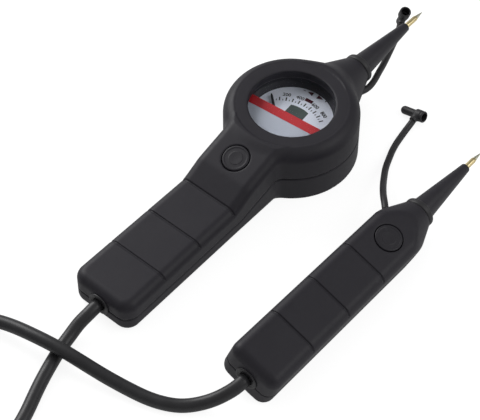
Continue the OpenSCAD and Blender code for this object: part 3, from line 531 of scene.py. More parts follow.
def wire_dust(tree: Tree, given: dict[str, Socket]) -> dict[str, Socket]:
    """Settled dust: large soft noise on faces that look up, times an amount.

    Args:
        tree: the group's tree.
        given: the group's inputs.

    Returns:
        The socket for each of the group's outputs.
    """
    normal = add_node(tree, "NewGeometry").outputs["Normal"]
    height = add_node(tree, "SeparateXYZ", {0: normal}).outputs[2]
    up = math_node(tree, "MULTIPLY", height, 0.8, True)
    patches = math_node(tree, "MULTIPLY", up, noise(tree, object_place(tree), 70.0, 5.0, 0.7))
    return {"Mask": math_node(tree, "MULTIPLY", patches, given["Amount"], True)}


@dataclass
class Effect:
    """An effect that several finishes share, built once as a node group."""

    name: str
    inputs: dict[str, float]
    outputs: tuple[str, ...]
    wire: Callable[[Tree, dict[str, Socket]], dict[str, Socket]]
    built: Tree | None = None

    def group(self) -> Tree:
        """The node group with its inputs and outputs, built when it is first asked for."""
        if self.built is None:
            tree = self.built = bpy.data.node_groups.new(self.name, "ShaderNodeTree")
            kind = "NodeSocketFloat"
            for key, value in self.inputs.items():
                socket = tree.interface.new_socket(key, in_out="INPUT", socket_type=kind)
                socket.default_value = value
            for key in self.outputs:
                tree.interface.new_socket(key, in_out="OUTPUT", socket_type=kind)
            given = tree.nodes.new("NodeGroupInput").outputs
            end = tree.nodes.new("NodeGroupOutput")
            feed(tree, end, self.wire(tree, {key: given[key] for key in self.inputs}))
        return self.built

    def place(self, tree: Tree, values: dict[str, float]) -> Node:
        """Places the effect in a material with that material's own values."""
        node = tree.nodes.new("ShaderNodeGroup")
        node.node_tree = self.group()
        feed(tree, node, values)
        return node


GRAIN = Effect("fine_grain", {"Scale": 1500.0, "Stretch": 1.0}, ("Height", "Mask"), wire_grain)
# Painted highlight: sharp edges get a lighter colour that stands in for light catching them.
EDGE_HIGHLIGHT = Effect("painted_edge_highlight", {"Amount": 0.3, "Sharpness": 6.0}, ("Mask",), wire_edge_highlight)
DUST = Effect("settled_dust", {"Amount": 0.1}, ("Mask",), wire_dust)
DUST_COLOR = (0.30, 0.29, 0.28)
BUILT: dict[str, Material] = {}


@dataclass(frozen=True)
class Finish:
    """One surface finish, built from a base colour, its variation, grain, a painted edge highlight
    and dust.
    """

    name: str
    slot: str
    color: Triple
    second: Triple
    rough: Pair = (0.5, 0.6)
    texture: Texture = Texture.MOULDED
    grain: float = 1500.0
    depth: float = 0.00002
    metallic: float = 0.0
    specular: float = 0.5
    coat: float = 0.0
    # Painted edge highlight: how strongly sharp edges are lightened in colour to stand in for light
    # on them.
    edge_highlight: float = 0.15
    dust: float = 0.06
    # Lighter tint of the painted edge highlight.
    highlight_tint: Triple = (0.12, 0.12, 0.13)

    def build(self) -> Material:
        """Builds the material once; later calls return the same one."""
        if self.name in BUILT:
            return BUILT[self.name]
        BUILT[self.name], tree = new_material(self.name)
        stretch = 0.04 if self.texture is Texture.BRUSHED else 1.0
        grain = GRAIN.place(tree, {"Scale": self.grain, "Stretch": stretch}).outputs
        color = self.mix(tree, grain["Mask"], self.color, self.second)
        # Mixes in the painted highlight on sharp edges, then the dust.
        for effect, amount, tint in ((EDGE_HIGHLIGHT, self.edge_highlight, self.highlight_tint), (DUST, self.dust, DUST_COLOR)):
            if amount:
                mask = effect.place(tree, {"Amount": amount}).outputs["Mask"]
                color = self.mix(tree, mask, color, tint)
        low, high = self.rough
        spread = add_node(tree, "MapRange", {"Value": grain["Mask"], "To Min": low, "To Max": high})
        bump = add_node(tree, "Bump", {"Strength": 1.0, "Distance": self.depth,
                                       "Height": grain["Height"]})
        feed(tree, tree.nodes["Principled BSDF"], {
            "Metallic": self.metallic, "Specular IOR Level": self.specular,
            "Coat Weight": self.coat, "Coat Roughness": 0.15, "Base Color": color,
            "Roughness": spread.outputs[0], "Normal": bump.outputs[0]})
        return BUILT[self.name]

    def mix(self, tree: Tree, factor: Socket, a: object, b: object) -> Socket:
        """Mixes two colours, each of them a socket or a triple, by a mask."""
        node = tree.nodes.new("ShaderNodeMix")
        node.data_type = "RGBA"
        first, second = (v if isinstance(v, Socket) else (*v, 1) for v in (a, b))
        feed(tree, node, {0: factor, 6: first, 7: second})
        return node.outputs[2]


class Palette:
    """Every finish of the tester."""

    PRINT = {"texture": Texture.PRINTED, "grain": 900.0, "depth": 0.000004, "edge_highlight": 0.0,
             "dust": 0.02}
    METAL = {"texture": Texture.BRUSHED, "metallic": 1.0, "edge_highlight": 0.0}
    # The case's sharp edges get a painted highlight, a lighter tint that stands in for light on its
    # bevels.
    CASE = Finish("charcoal_soft_moulding", "case_plastic", (0.0120, 0.0106, 0.0162),
                  (0.0164, 0.0147, 0.0216), (0.48, 0.60), grain=1900.0, depth=0.000025,
                  specular=0.42, edge_highlight=0.25, dust=0.03, highlight_tint=(0.07, 0.07, 0.08))
    # Keeps the default painted highlight on its sharp edges.
    BUTTON = Finish("button_moulding", "button_plastic", (0.0112, 0.0100, 0.0150),
                    (0.0154, 0.0139, 0.0200), (0.44, 0.56), grain=2200.0, depth=0.00002,
                    specular=0.42, dust=0.03)
    RUBBER = Finish("black_rubber_moulding", "soft_rubber", (0.015, 0.0145, 0.017),
                    (0.022, 0.0215, 0.025), (0.42, 0.56), Texture.RUBBER, grain=900.0,
                    depth=0.00003, edge_highlight=0.0)
    CABLE = Finish("cable_jacket", "soft_rubber", (0.014, 0.014, 0.016), (0.022, 0.022, 0.025),
                   (0.36, 0.50), Texture.RUBBER, grain=600.0, depth=0.00004, edge_highlight=0.0)
    # Keeps the default painted highlight on its sharp edges.
    CONE = Finish("cone_moulding", "cone_plastic", (0.0122, 0.0110, 0.0166),
                  (0.0168, 0.0152, 0.0222), (0.38, 0.50), grain=1700.0, depth=0.00002)
    INNER = Finish("inner_moulding", "inner_plastic", (0.010, 0.009, 0.014),
                   (0.014, 0.013, 0.019), (0.45, 0.6), grain=1500.0, edge_highlight=0.0, dust=0.02)
    PLATE = Finish("dial_white_print", "dial_face", (0.78, 0.80, 0.88), (0.82, 0.84, 0.92),
                   (0.45, 0.55), **PRINT)
    COVER = Finish("dial_cover_print", "dial_face", (0.38, 0.40, 0.455), (0.42, 0.44, 0.50),
                   (0.45, 0.55), **PRINT)
    RED = Finish("dial_red_print", "red_print", (0.42, 0.006, 0.012), (0.48, 0.009, 0.016),
                 (0.40, 0.50), **PRINT)
    INK = Finish("dial_ink", "inner_plastic", (0.007, 0.007, 0.012), (0.012, 0.012, 0.020),
                 (0.5, 0.6), Texture.PRINTED, edge_highlight=0.0, dust=0.0)
    DISPLAY = Finish("display_panel", "display_glass", (0.060, 0.078, 0.072),
                     (0.072, 0.092, 0.086), (0.12, 0.2), Texture.PRINTED, grain=500.0,
                     depth=0.000002, coat=0.5, edge_highlight=0.0, dust=0.0)
    LAMP = Finish("lamp_window", "lamp_plastic", (0.050, 0.010, 0.018), (0.075, 0.014, 0.024),
                  (0.15, 0.25), Texture.PRINTED, grain=500.0, depth=0.000002, coat=0.4,
                  edge_highlight=0.0, dust=0.0)
    BOARD = Finish("circuit_board", "board_laminate", (0.016, 0.080, 0.040),
                   (0.022, 0.110, 0.054), (0.3, 0.4), Texture.PRINTED, coat=0.3, edge_highlight=0.0)
    CERAMIC = Finish("resistor_ceramic", "beige_ceramic", (0.52, 0.40, 0.24),
                     (0.60, 0.48, 0.30), (0.35, 0.5), edge_highlight=0.0)
    MAGNET = Finish("magnet_steel", "magnet_metal", (0.30, 0.31, 0.33), (0.38, 0.39, 0.41),
                    (0.3, 0.45), **METAL)
    STEEL = Finish("polished_steel", "steel", (0.56, 0.55, 0.52), (0.66, 0.65, 0.62),
                   (0.22, 0.34), grain=2600.0, depth=0.000006, dust=0.03, **METAL)
    POINT = Finish("hardened_point", "steel", (0.72, 0.71, 0.56), (0.84, 0.83, 0.68),
                   (0.34, 0.46), grain=2600.0, depth=0.000006, dust=0.03, **METAL)
    BRASS = Finish("polished_brass", "brass", (0.84, 0.69, 0.36), (0.94, 0.81, 0.48),
                   (0.30, 0.44), grain=2200.0, depth=0.000008, dust=0.03, **METAL)
    BRONZE = Finish("enamelled_bronze", "bronze", (0.42, 0.22, 0.09), (0.52, 0.30, 0.13),
                    (0.3, 0.42), **METAL)

    @staticmethod
    def clear() -> Material:
        """The lens: clear plastic that lets the lamps' light through to the dial."""
        material, tree = new_material("window_clear_plastic")
        shader = tree.nodes["Principled BSDF"]
        feed(tree, shader, {"Base Color": (0.96, 0.98, 1.0, 1), "Roughness": 0.03, "IOR": 1.22,
                            "Transmission Weight": 1.0})
        shadow = add_node(tree, "LightPath").outputs["Is Shadow Ray"]
        through = add_node(tree, "BsdfTransparent")
        mixed = add_node(tree, "MixShader", {0: shadow, 1: shader.outputs[0],
                                             2: through.outputs[0]})
        feed(tree, tree.nodes["Material Output"], {"Surface": mixed.outputs[0]})
        return material


def dress(piece: Piece, finish: Finish, body: str = CASE, nodes: Sequence[str] = ()) -> Piece:
    """Gives a new piece its finish, its body and the CAD nodes that it stands for.

    Args:
        piece: the new piece.
        finish: its finish.
        body: the CAD body that it rides on.
        nodes: CAD nodes that it replaces.

    Returns:
        The piece.
    """
    piece.data.materials.clear()
    piece.data.materials.append(finish.build())
    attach(piece, body)
    if nodes:
        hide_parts(*nodes)
    LOG.info("made %s with %d faces", piece.name, len(piece.data.polygons))
    return piece


def dress_node(node: str, finish: Finish) -> None:
    """Gives a CAD node that stays its finish."""
    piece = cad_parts[node]
    piece.data.materials.clear()
    piece.data.materials.append(finish.build())


# The cable and the tethers
MAIN_RUN = [[0, -147.8, 10], [0, -150, 10], [-0.2, -155, 9], [-0.8, -160, 7.2],
            [-0.6, -167, 4.6], [0.4, -174, 3.5], [3, -183, 3.5], [6.4, -193, 3.5],
            [10.8, -204, 3.5], [15.4, -215, 3.5], [18.8, -228, 3.5], [20, -243, 3.5],
            [20, -258, 3.5]]
PROBE_RUN = [[85.6, -135.7, 14.4], [85.6, -137.9, 14.4], [84.9, -141.2, 13.2],
             [82.9, -144.9, 10.8], [79.3, -150, 7.6], [74.2, -155.8, 4.9], [68, -161.7, 3.7],
             [61, -166, 3.5], [53.2, -169, 3.5], [43.1, -171.6, 4.2], [29.2, -174.8, 6.4],
             [15.7, -177.5, 9.2], [2.1, -179.8, 10.7], [-11.6, -181.8, 9.8],
             [-26.5, -184.2, 7.4], [-40.5, -189.2, 5.2], [-52.8, -197.8, 4], [-62, -210, 3.8],
             [-67, -225, 4.6], [-68.6, -240, 8.2], [-68.6, -254, 11.1]]
MAIN_TETHER = [[8.6, 45.9, 11], [9.4, 48.6, 10.6], [9.8, 53.4, 9.8], [9.2, 57.4, 9.2],
               [7.8, 62.3, 8.4], [6.4, 66.3, 7.8], [3.9, 73.6, 6.6], [1.2, 80.8, 5.4],
               [-1.5, 87.7, 4.4], [-2.85, 91.2, 4], [-4.3, 95.1, 3.9], [-5.7, 98.7, 4.2],
               [-6.9, 101.7, 5], [-7.8, 103.8, 6], [-8.4, 105.1, 7], [-9.2, 107.8, 8.3]]
PROBE_TETHER = [[73.9, -13.8, 18.8], [71.2, -10.9, 18.7], [66.9, -6.3, 17.1],
                [62, -0.2, 14], [58.2, 5.1, 11], [53.8, 11.8, 7.6], [49.4, 19.1, 4.6],
                [46.3, 25.7, 2.8], [43.7, 32, 1.9], [42.1, 37.6, 1.9], [41.1, 42.7, 1.9],
                [40.2, 48, 2], [39.8, 52.1, 2.6], [39.7, 54.6, 3.6], [39.7, 56.4, 4.7]]


@dataclass(frozen=True)
class TipCap:
    """A rubber tip cap: a wide mouth, a slimmer tail with a round end, and a tether's stub."""

    name: str
    node: str
    mouth: Triple
    lean: float
    turn: float
    tether: Triple
    tether_d: float = 3.6
    mouth_r: float = 3.2
    mouth_l: float = 5.0
    step_l: float = 1.5
    tail_r: float = 2.3
    length: float = 15.4
    bore_r: float = 2.3
    tail_bore_r: float = 1.6
    deep: float = 13.4
    groove_at: float = 1.5
    groove_r: float = 0.32
    stub_l: float = 5.0
    stub_wall: float = 0.15
    grid_step: float = 0.25
    grid_reach: float = 7.5

    def seat(self) -> Seat:
        """The mouth's frame: leant about Y, then turned about Z; the tail runs down its Z."""
        return seat_about(self.mouth, ("Z", self.turn), ("Y", self.lean))

    def shape(self, x: Array, y: Array, z: Array) -> Array:
        """Field of the cap: a stepped round body and its stub in soft union, less the bores."""
        rho = np.sqrt(x * x + y * y)
        step = np.interp(z, [-self.mouth_l - self.step_l, -self.mouth_l], [0, 1])
        ease = step * step * (3 - 2 * step)
        outside = rho - self.tail_r - (self.mouth_r - self.tail_r) * ease
        end_z = self.tail_r - self.length
        ball = np.sqrt(rho * rho + (z - end_z) ** 2) - self.tail_r
        body = np.where(z < end_z, ball, outside)
        groove = np.sqrt((rho - self.mouth_r - 0.1) ** 2 + (z + self.groove_at) ** 2)
        body = soft_max(soft_max(body, z, 0.7), self.groove_r - groove, 0.3)
        foot, way = self.joint()
        px, py, pz = x - foot[0], y - foot[1], z - foot[2]
        along = px * way[0] + py * way[1] + pz * way[2]
        aside = np.sqrt(np.maximum(px * px + py * py + pz * pz - along * along, 0))
        stub = np.maximum(aside - self.tether_d / 2 - self.stub_wall,
                          np.maximum(-along, along - self.stub_l))
        body = soft_min(body, stub, 1.2)
        bore = np.where(z > -self.mouth_l, self.bore_r, self.tail_bore_r)
        return soft_max(body, -np.maximum(rho - bore, -z - self.deep), 0.3)

    def joint(self) -> tuple[Array, Array]:
        """Where the stub starts on the cap's axis, and its direction towards the tether."""
        near = self.seat().local(np.array([self.tether], float))[0]
        foot = np.array([0.0, 0.0, near[2]])
        way = near - foot
        return foot, way / np.linalg.norm(way)

    def build(self) -> Piece:
        """Meshes the cap and dresses it."""
        across = lines(-self.grid_reach, self.grid_reach, self.grid_step)
        axes = [across, across, lines(-self.length - 1, 1.2, self.grid_step)]
        return dress(surface_of(self.name, self.shape, axes, self.seat()), Palette.RUBBER, CASE,
                     [self.node])


@dataclass
class Leads:
    """The cable between the handsets, and the two tethers with their tip caps."""

    cable_d: float = 7.0
    tether_d: float = 3.6
    coil_centre: Pair = (-24.3, -272.0)
    coil_r: float = 31.0
    coil_pitch: float = 7.6
    coil_turns: float = 3.5

    def coil(self) -> Array:
        """The coil's centreline.

        The radius falls from both ends to the middle turn by one pitch a turn, and the height
        climbs one layer there, as half a sine wave over half a turn.
        """
        s = np.linspace(0, self.coil_turns, 85)
        f = s - self.coil_turns / 2
        r = self.coil_r + self.coil_pitch * np.abs(f)
        climb = 0.5 + 0.5 * np.sin(TURN * np.clip(f, -0.25, 0.25))
        a = -TURN * s
        return np.stack([self.coil_centre[0] + r * np.cos(a), self.coil_centre[1] + r * np.sin(a),
                         self.cable_d / 2 + self.coil_pitch * climb], -1)

    def cable_route(self) -> Array:
        """The whole cable: out of the dial handset, round the coil and to the plain handset."""
        return np.concatenate([np.array(MAIN_RUN, float), self.coil(),
                               np.array(PROBE_RUN[::-1], float)])

    def cord(self, name: str, route: Array, diameter: float, finish: Finish, spacing: float,
             nodes: Sequence[str]) -> Piece:
        """Args:
            name: the piece's name.
            route: points that the cord runs through.
            diameter: the cord's diameter.
            finish: its finish.
            spacing: distance between the points of its path.
            nodes: CAD nodes that it replaces.

        Returns:
            The cord.
        """
        path = spline(route, spacing)
        piece = dress(sweep(name, path, diameter / 2), finish, CASE, nodes)
        return piece

    def build(self) -> None:
        """Makes the cable, both caps and both tethers."""
        self.cord("cable", self.cable_route(), self.cable_d, Palette.CABLE, 2.2,
                  ["cable_run", "cable_coil"])
        places = {"main": (MAIN_TETHER, (-7.8, 108.5, 14.6), 22.0, -24.0),
                  "probe": (PROBE_TETHER, (43.9, 59.1, 5.9), 75.3, 0.0)}
        for side, (route, mouth, lean, turn) in places.items():
            cap = TipCap(f"{side}_tip_cap", f"{side}_cap", mouth, lean, turn,
                         tuple(route[-1])).build()
            self.cord(f"{side}_cap_tether", np.array(route, float), self.tether_d,
                      Palette.RUBBER, 1.2, [f"{side}_tether"])


# The two handsets
@dataclass
class ProbeSet:
    """A probe: rubber ring, tapered cone, brass rod and steel point, on one axis."""

    prefix: str
    seat: Seat
    cone_l: float
    tip_l: float
    base_r: float = 6.4
    end_r: float = 2.5
    ring_r: float = 8.5
    shank_r: float = 1.1
    rod_r: float = 1.5
    point_r: float = 1.25
    collar_t: float = 3.6
    base_l: float = 1.4
    point_l: float = 5.8
    root: float = -10.0

    def build(self) -> None:
        """Makes the four pieces, each a profile turned about the probe's axis."""
        thick, root, end = self.collar_t, self.root, self.point_r
        start = thick + self.base_l
        front = start + self.cone_l
        shoulder = front + self.tip_l
        inner, bore = self.base_r + 0.05, self.shank_r + 0.06
        ring = rounded([(inner, 0.0), (self.ring_r, 0.0, 1.3), (self.ring_r, thick, 1.5),
                        (inner, thick, 0.2), (inner, 0.05)], 6)[:-1]
        cone = rounded([(bore, root), (self.base_r, root, 0.3), (self.base_r, start, 0.8),
                        (self.end_r, front, 0.45), (bore, front, 0.1), (bore, root + 0.1)], 5)[:-1]
        rod = rounded([(0, root + 0.1), (self.shank_r, root + 0.1, 0.1),
                       (self.shank_r, front, 0.1), (self.rod_r, front, 0.1),
                       (self.rod_r, shoulder - 1.2, 0.3), (end, shoulder, 0.1), (0, shoulder)], 4)
        tip = rounded([(0, shoulder - 2.8), (0.85, shoulder - 2.8, 0.1),
                       (0.85, shoulder + 0.02, 0.05), (end - 0.03, shoulder + 0.02, 0.12),
                       (0.14, shoulder + self.point_l - 0.1, 0.1),
                       (0, shoulder + self.point_l)], 4)
        for name, node, profile, sides, finish in (
                ("ring", "collar", ring, 72, Palette.RUBBER),
                ("probe_cone", "cone", cone, 72, Palette.CONE),
                ("rod", "tip", rod, 40, Palette.BRASS),
                ("needle", "point", tip, 32, Palette.POINT)):
            dress(lathe(f"{self.prefix}_{name}", profile, self.seat, sides), finish, CASE,
                  [f"{self.prefix}_{node}"])


@dataclass
class Handset:
    """What both handsets share: case halves, grip grooves, screw bosses, button and gland.

    A field is about the distance to a shape's surface, below zero inside. Each handset gives the
    fields of its whole case and of its upper half, and its parting line. The screws are (x, y,
    height at which the counterbore ends), and the spans are the grids' ends.
    """

    prefix: str
    grooves: tuple[float, ...]
    screws: tuple[Triple, ...]
    boss_r: float
    seam_gap: float
    cone_l: float
    tip_l: float
    across: Pair
    along: Pair
    top_span: Pair
    bottom_span: Pair
    grid_step: float
    axis_z: float
    tail_z: float
    room_end: float
    tail_bore_y: float
    nose_bore_y: float
    wall: float = 2.4
    groove_half: float = 0.5
    groove_deep: float = 0.65
    groove_reach: float = 3.4
    hole_r: float = 7.6
    counterbore_r: float = 2.65
    tail_bore_r: float = 5.4
    nose_bore_r: float = 6.7
    edge_blend: float = 0.5

    def outer(self, x: Array, y: Array, z: Array) -> Array:
        """Field of the whole case.

        Args:
            x, y, z: the places to measure.

        Returns:
            The field there.
        """
        raise NotImplementedError

    def top(self, x: Array, y: Array, z: Array) -> Array:
        """Field of the upper half, with all its openings.

        Args:
            x, y, z: the places to measure.

        Returns:
            The field there.
        """
        raise NotImplementedError

    def seam(self, y: Array) -> Array | float:
        """Height of the parting line."""
        raise NotImplementedError

    def hollow(self, x: Array, y: Array, z: Array, outer: Array) -> Array:
        """Field of what is cut from both halves: the room inside, the tail's and nose's bores.

        Args:
            x, y, z: the places to measure.
            outer: field of the whole case there.

        Returns:
            The field.
        """
        room = np.maximum(outer + self.wall, y - self.room_end)
        tail = np.maximum(np.sqrt(x * x + (z - self.tail_z) ** 2) - self.tail_bore_r,
                          y - self.tail_bore_y)
        nose = np.maximum(np.sqrt(x * x + (z - self.axis_z) ** 2) - self.nose_bore_r,
                          self.nose_bore_y - y)
        return np.minimum(np.minimum(room, tail), nose)

    def grooved(self, body: Array, outer: Array, y: Array, z: Array, crest: Array) -> Array:
        """Cuts the grip grooves: bands a little into the case, down to a reach under its crest.

        Args:
            body: field to cut.
            outer: field of the whole case.
            y, z: the places to measure.
            crest: height of the grip's top there.

        Returns:
            The cut field.
        """
        band = np.minimum.reduce([np.abs(y - g) - self.groove_half for g in self.grooves])
        groove = np.maximum(np.maximum(band, -(outer + self.groove_deep)),
                            crest - self.groove_reach - z)
        return soft_max(body, -groove, self.edge_blend)

    def bottom(self, x: Array, y: Array, z: Array) -> Array:
        """Field of the lower half, with its screw bosses and their counterbores.

        Args:
            x, y, z: the places to measure.

        Returns:
            The field there.
        """
        outer = self.outer(x, y, z)
        over = z - self.seam(y)
        body = np.maximum(outer, -self.hollow(x, y, z, outer))
        for sx, sy, deep in self.screws:
            rho = np.sqrt((x - sx) ** 2 + (y - sy) ** 2)
            boss = np.maximum(rho - self.boss_r, over + 1)
            body = np.minimum(body, np.maximum(boss, outer + 0.3))
            body = soft_max(body, -np.maximum(rho - self.counterbore_r, z - deep), 0.3)
        return soft_max(body, over + self.seam_gap, self.edge_blend)

    def halves(self, seat: Seat) -> None:
        """Meshes both halves, with finer grid lines at the grooves, and dresses them."""
        near = [(g - 1.2, g + 1.2) for g in self.grooves]
        step = self.grid_step
        across, along = lines(*self.across, step), lines(*self.along, step, near, 0.24)
        for half, shape, span in (("top", self.top, self.top_span),
                                  ("bottom", self.bottom, self.bottom_span)):
            piece = surface_of(f"{self.prefix}_case_{half}", shape,
                               [across, along, lines(*span, step)], seat)
            dress(piece, Palette.CASE, CASE, [f"{self.prefix}_{half}_shell"])

    def fittings(self, button: Seat, nose: Seat, tail: Seat) -> None:
        """Makes the round push button, the probe and the cable's rubber gland.

        Args:
            button: the button's frame, with the case's face as its ground plane.
            nose: the probe's frame, whose third direction runs from the nose to the tip.
            tail: the gland's frame, with the tail's face as its ground plane.
        """
        cap = rounded([(0, -8.5), (2.5, -8.5, 0.3), (2.5, -4.1, 0.1), (8.6, -4.1, 0.3),
                       (8.6, -2.95, 0.3), (7.2, -2.95, 0.1), (7.2, 0.2, 0.7), (6.1, 0.2, 0.2),
                       (5.7, 0.0, 0.2), (3.9, 0.02, 0.2), (3.6, 0.14, 0.2), (1.4, 0.02, 1.0),
                       (0, 0.0)], 4)
        name = f"{self.prefix}_button"
        dress(lathe(f"{self.prefix}_push_button", cap, button, 72), Palette.BUTTON, name, [name])
        ProbeSet(self.prefix, nose, self.cone_l, self.tip_l).build()
        collar = rounded([(3.56, -0.8), (3.56, 3.7), (6.4, 3.7, 0.3), (6.4, 2.5, 0.1),
                          (5.3, 2.5, 0.1), (5.3, 0.0, 0.1), (6.4, 0.0, 0.1), (6.3, -0.8, 0.45),
                          (3.6, -0.8)], 4)[:-1]
        dress(lathe(f"{self.prefix}_cable_gland", collar, tail, 64), Palette.RUBBER, CASE,
              [f"{self.prefix}_gland"])


@dataclass
class DialHandset(Handset):
    """The dial handset: round head with its window, shoulder, flat grip and round neck."""

    prefix: str = "main"
    grooves: tuple[float, ...] = (-66.0, -92.4, -118.8)
    screws: tuple[Triple, ...] = (
        (30.2, 6.4, 6.5), (-30.2, 6.4, 6.5), (13.2, -137.0, 3.1), (-13.2, -137.0, 3.1),
        (13.2, -72.0, 3.1), (-13.2, -72.0, 3.1))
    boss_r: float = 3.7
    seam_gap: float = 0.3
    cone_l: float = 38.8
    tip_l: float = 9.2
    across: Pair = (-38.0, 38.0)
    along: Pair = (-149.0, 56.5)
    top_span: Pair = (7.6, 36.5)
    bottom_span: Pair = (-1.0, 17.2)
    grid_step: float = 0.58
    axis_z: float = 15.7
    tail_z: float = 10.0
    room_end: float = 60.0
    tail_bore_y: float = -138.0
    nose_bore_y: float = 40.0
    seam_y: Pair = (-62.0, -38.0)
    seam_z: Pair = (9.0, 15.6)
    head_r: float = 36.0
    head_t: float = 35.0
    crown_r: float = 7.6
    low_r: float = 0.5
    middle_z: float = 17.0
    window_r: float = 23.0
    lip_r: float = 30.0
    lip_drop: float = 0.2
    lip_slope: float = 0.048
    collar_at: Pair = (25.4, 30.4)
    collar_half: Pair = (2.4, 3.2)
    lens_r: float = 26.15
    lens_z: Pair = (28.0, 29.4)
    neck_start: float = 8.0
    neck_y: Triple = (14.0, 26.0, 54.5)
    neck_r: Triple = (22.4, 20.6, 8.4)
    neck_lean: float = 0.94
    neck_blend: float = 5.0
    shoulder_blend: float = 3.2
    grip_y: Triple = (-147.0, -66.0, -34.0)
    grip_half: Triple = (19.3, 18.3, 18.1)
    grip_edge: float = 5.2
    grip_end: float = -14.0
    grip_sink: float = 0.8
    top_y: tuple[float, ...] = (-147.0, -66.2, -54.0, -34.0, -27.0, 0.0)
    top_z: tuple[float, ...] = (19.6, 20.4, 27.2, 33.4, 35.2, 35.2)
    rise_y: tuple[float, ...] = (-68.0, -62.0, -56.0, -50.0)
    rise: tuple[float, ...] = (0.01, 0.5, 0.5, 0.31)
    button_y: float = -44.6
    button_z: float = 30.19
    slope: float = 17.223
    tail: float = -147.0
    tail_r: float = 7.6

    def seam(self, y: Array) -> Array | float:
        """Height of the parting line: low along the grip, climbing to the head."""
        return np.interp(y, self.seam_y, self.seam_z)

    def outer(self, x: Array, y: Array, z: Array) -> Array:
        """Field of the whole case: head, grip with its shoulder, and neck in soft union.

        The head is a round box with a wide rounding above and a fine one below. The grip is a
        rounded box whose top follows smooth_top, with the height scaled by the cosine of the
        slope. The neck is a cone about the probe's axis.
        """
        rho = np.sqrt(x * x + y * y)
        upper = z > self.middle_z
        r = np.where(upper, self.crown_r, self.low_r)
        qz = np.where(upper, z - (self.head_t - self.crown_r), self.low_r - z)
        head = box_field([rho - (self.head_r - r), qz], r)
        edge = self.grip_edge
        rise = np.interp(y, self.rise_y, self.rise)
        over = (z - self.smooth_top(y)) / np.sqrt(1 + rise ** 2) + edge
        under = edge - self.grip_sink - z
        half = np.interp(y, self.grip_y, self.grip_half)
        plan = box_field([np.abs(x) - half + self.tail_r, self.tail + self.tail_r - y],
                         self.tail_r)
        plan = np.maximum(plan, y - self.grip_end)
        grip = box_field([plan + edge, np.maximum(over, under)], edge)
        body = np.maximum(soft_min(head, grip, self.shoulder_blend), z - self.head_t)
        radius = np.interp(y, self.neck_y, self.neck_r)
        ring = np.sqrt(x * x + (z - self.axis_z) ** 2)
        neck = np.maximum((ring - radius) * self.neck_lean,
                          np.maximum(self.neck_start - y, 0.2 - z))
        body = soft_max(soft_min(body, neck, self.neck_blend), -z, 0.5)
        body = np.maximum(body, z - self.head_t)
        return soft_max(body, y - self.neck_y[2], 0.7)

    def smooth_top(self, y: Array) -> Array:
        """Height of the grip's top: the mean of five shifts of a broken line, to ease it."""
        shifts = (-1.2, -0.6, 0, 0.6, 1.2)
        return sum(np.interp(y + d, self.top_y, self.top_z) for d in shifts) / len(shifts)

    def button_hole(self, x: Array, y: Array, z: Array) -> Array:
        """Field of the round hole along the button's own axis, near the top only."""
        a = math.radians(self.slope)
        v = (y - self.button_y) * math.cos(a) + (z - self.button_z) * math.sin(a)
        w = -(y - self.button_y) * math.sin(a) + (z - self.button_z) * math.cos(a)
        return np.maximum(np.sqrt(x * x + v * v) - self.hole_r, -6 - w)

    def top(self, x: Array, y: Array, z: Array) -> Array:
        """Field of the upper half: sloped lip, grooves, lens collar, window and button hole."""
        outer = self.outer(x, y, z)
        rho = np.sqrt(x * x + y * y)
        lip = (z - self.head_t + self.lip_drop - (rho - self.window_r) * self.lip_slope) * 0.99
        body = soft_max(outer, np.where(rho < self.lip_r, lip, -5.0), 1.5)
        body = self.grooved(body, outer, y, z, self.smooth_top(y))
        body = np.maximum(body, -self.hollow(x, y, z, outer))
        collar = np.maximum(np.abs(rho - self.collar_at[0]) - self.collar_half[0],
                            np.abs(z - self.collar_at[1]) - self.collar_half[1])
        body = np.minimum(body, np.maximum(collar, outer + 0.4))
        body = soft_max(body, -np.maximum(rho - self.window_r, self.lens_z[0] - z), 0.6)
        body = np.maximum(body, -np.maximum(rho - self.lens_r, z - self.lens_z[1]))
        body = soft_max(body, -self.button_hole(x, y, z), self.edge_blend)
        return soft_max(body, self.seam(y) + self.seam_gap - z, self.edge_blend)

    def build(self) -> None:
        """Makes every visible piece of the dial handset."""
        self.halves(Seat())
        self.fittings(seat_about((0, self.button_y, self.button_z), ("X", self.slope)),
                      Seat((0, self.neck_y[2], self.axis_z)).along_y(),
                      Seat((0, self.tail, self.tail_z)).along_y())


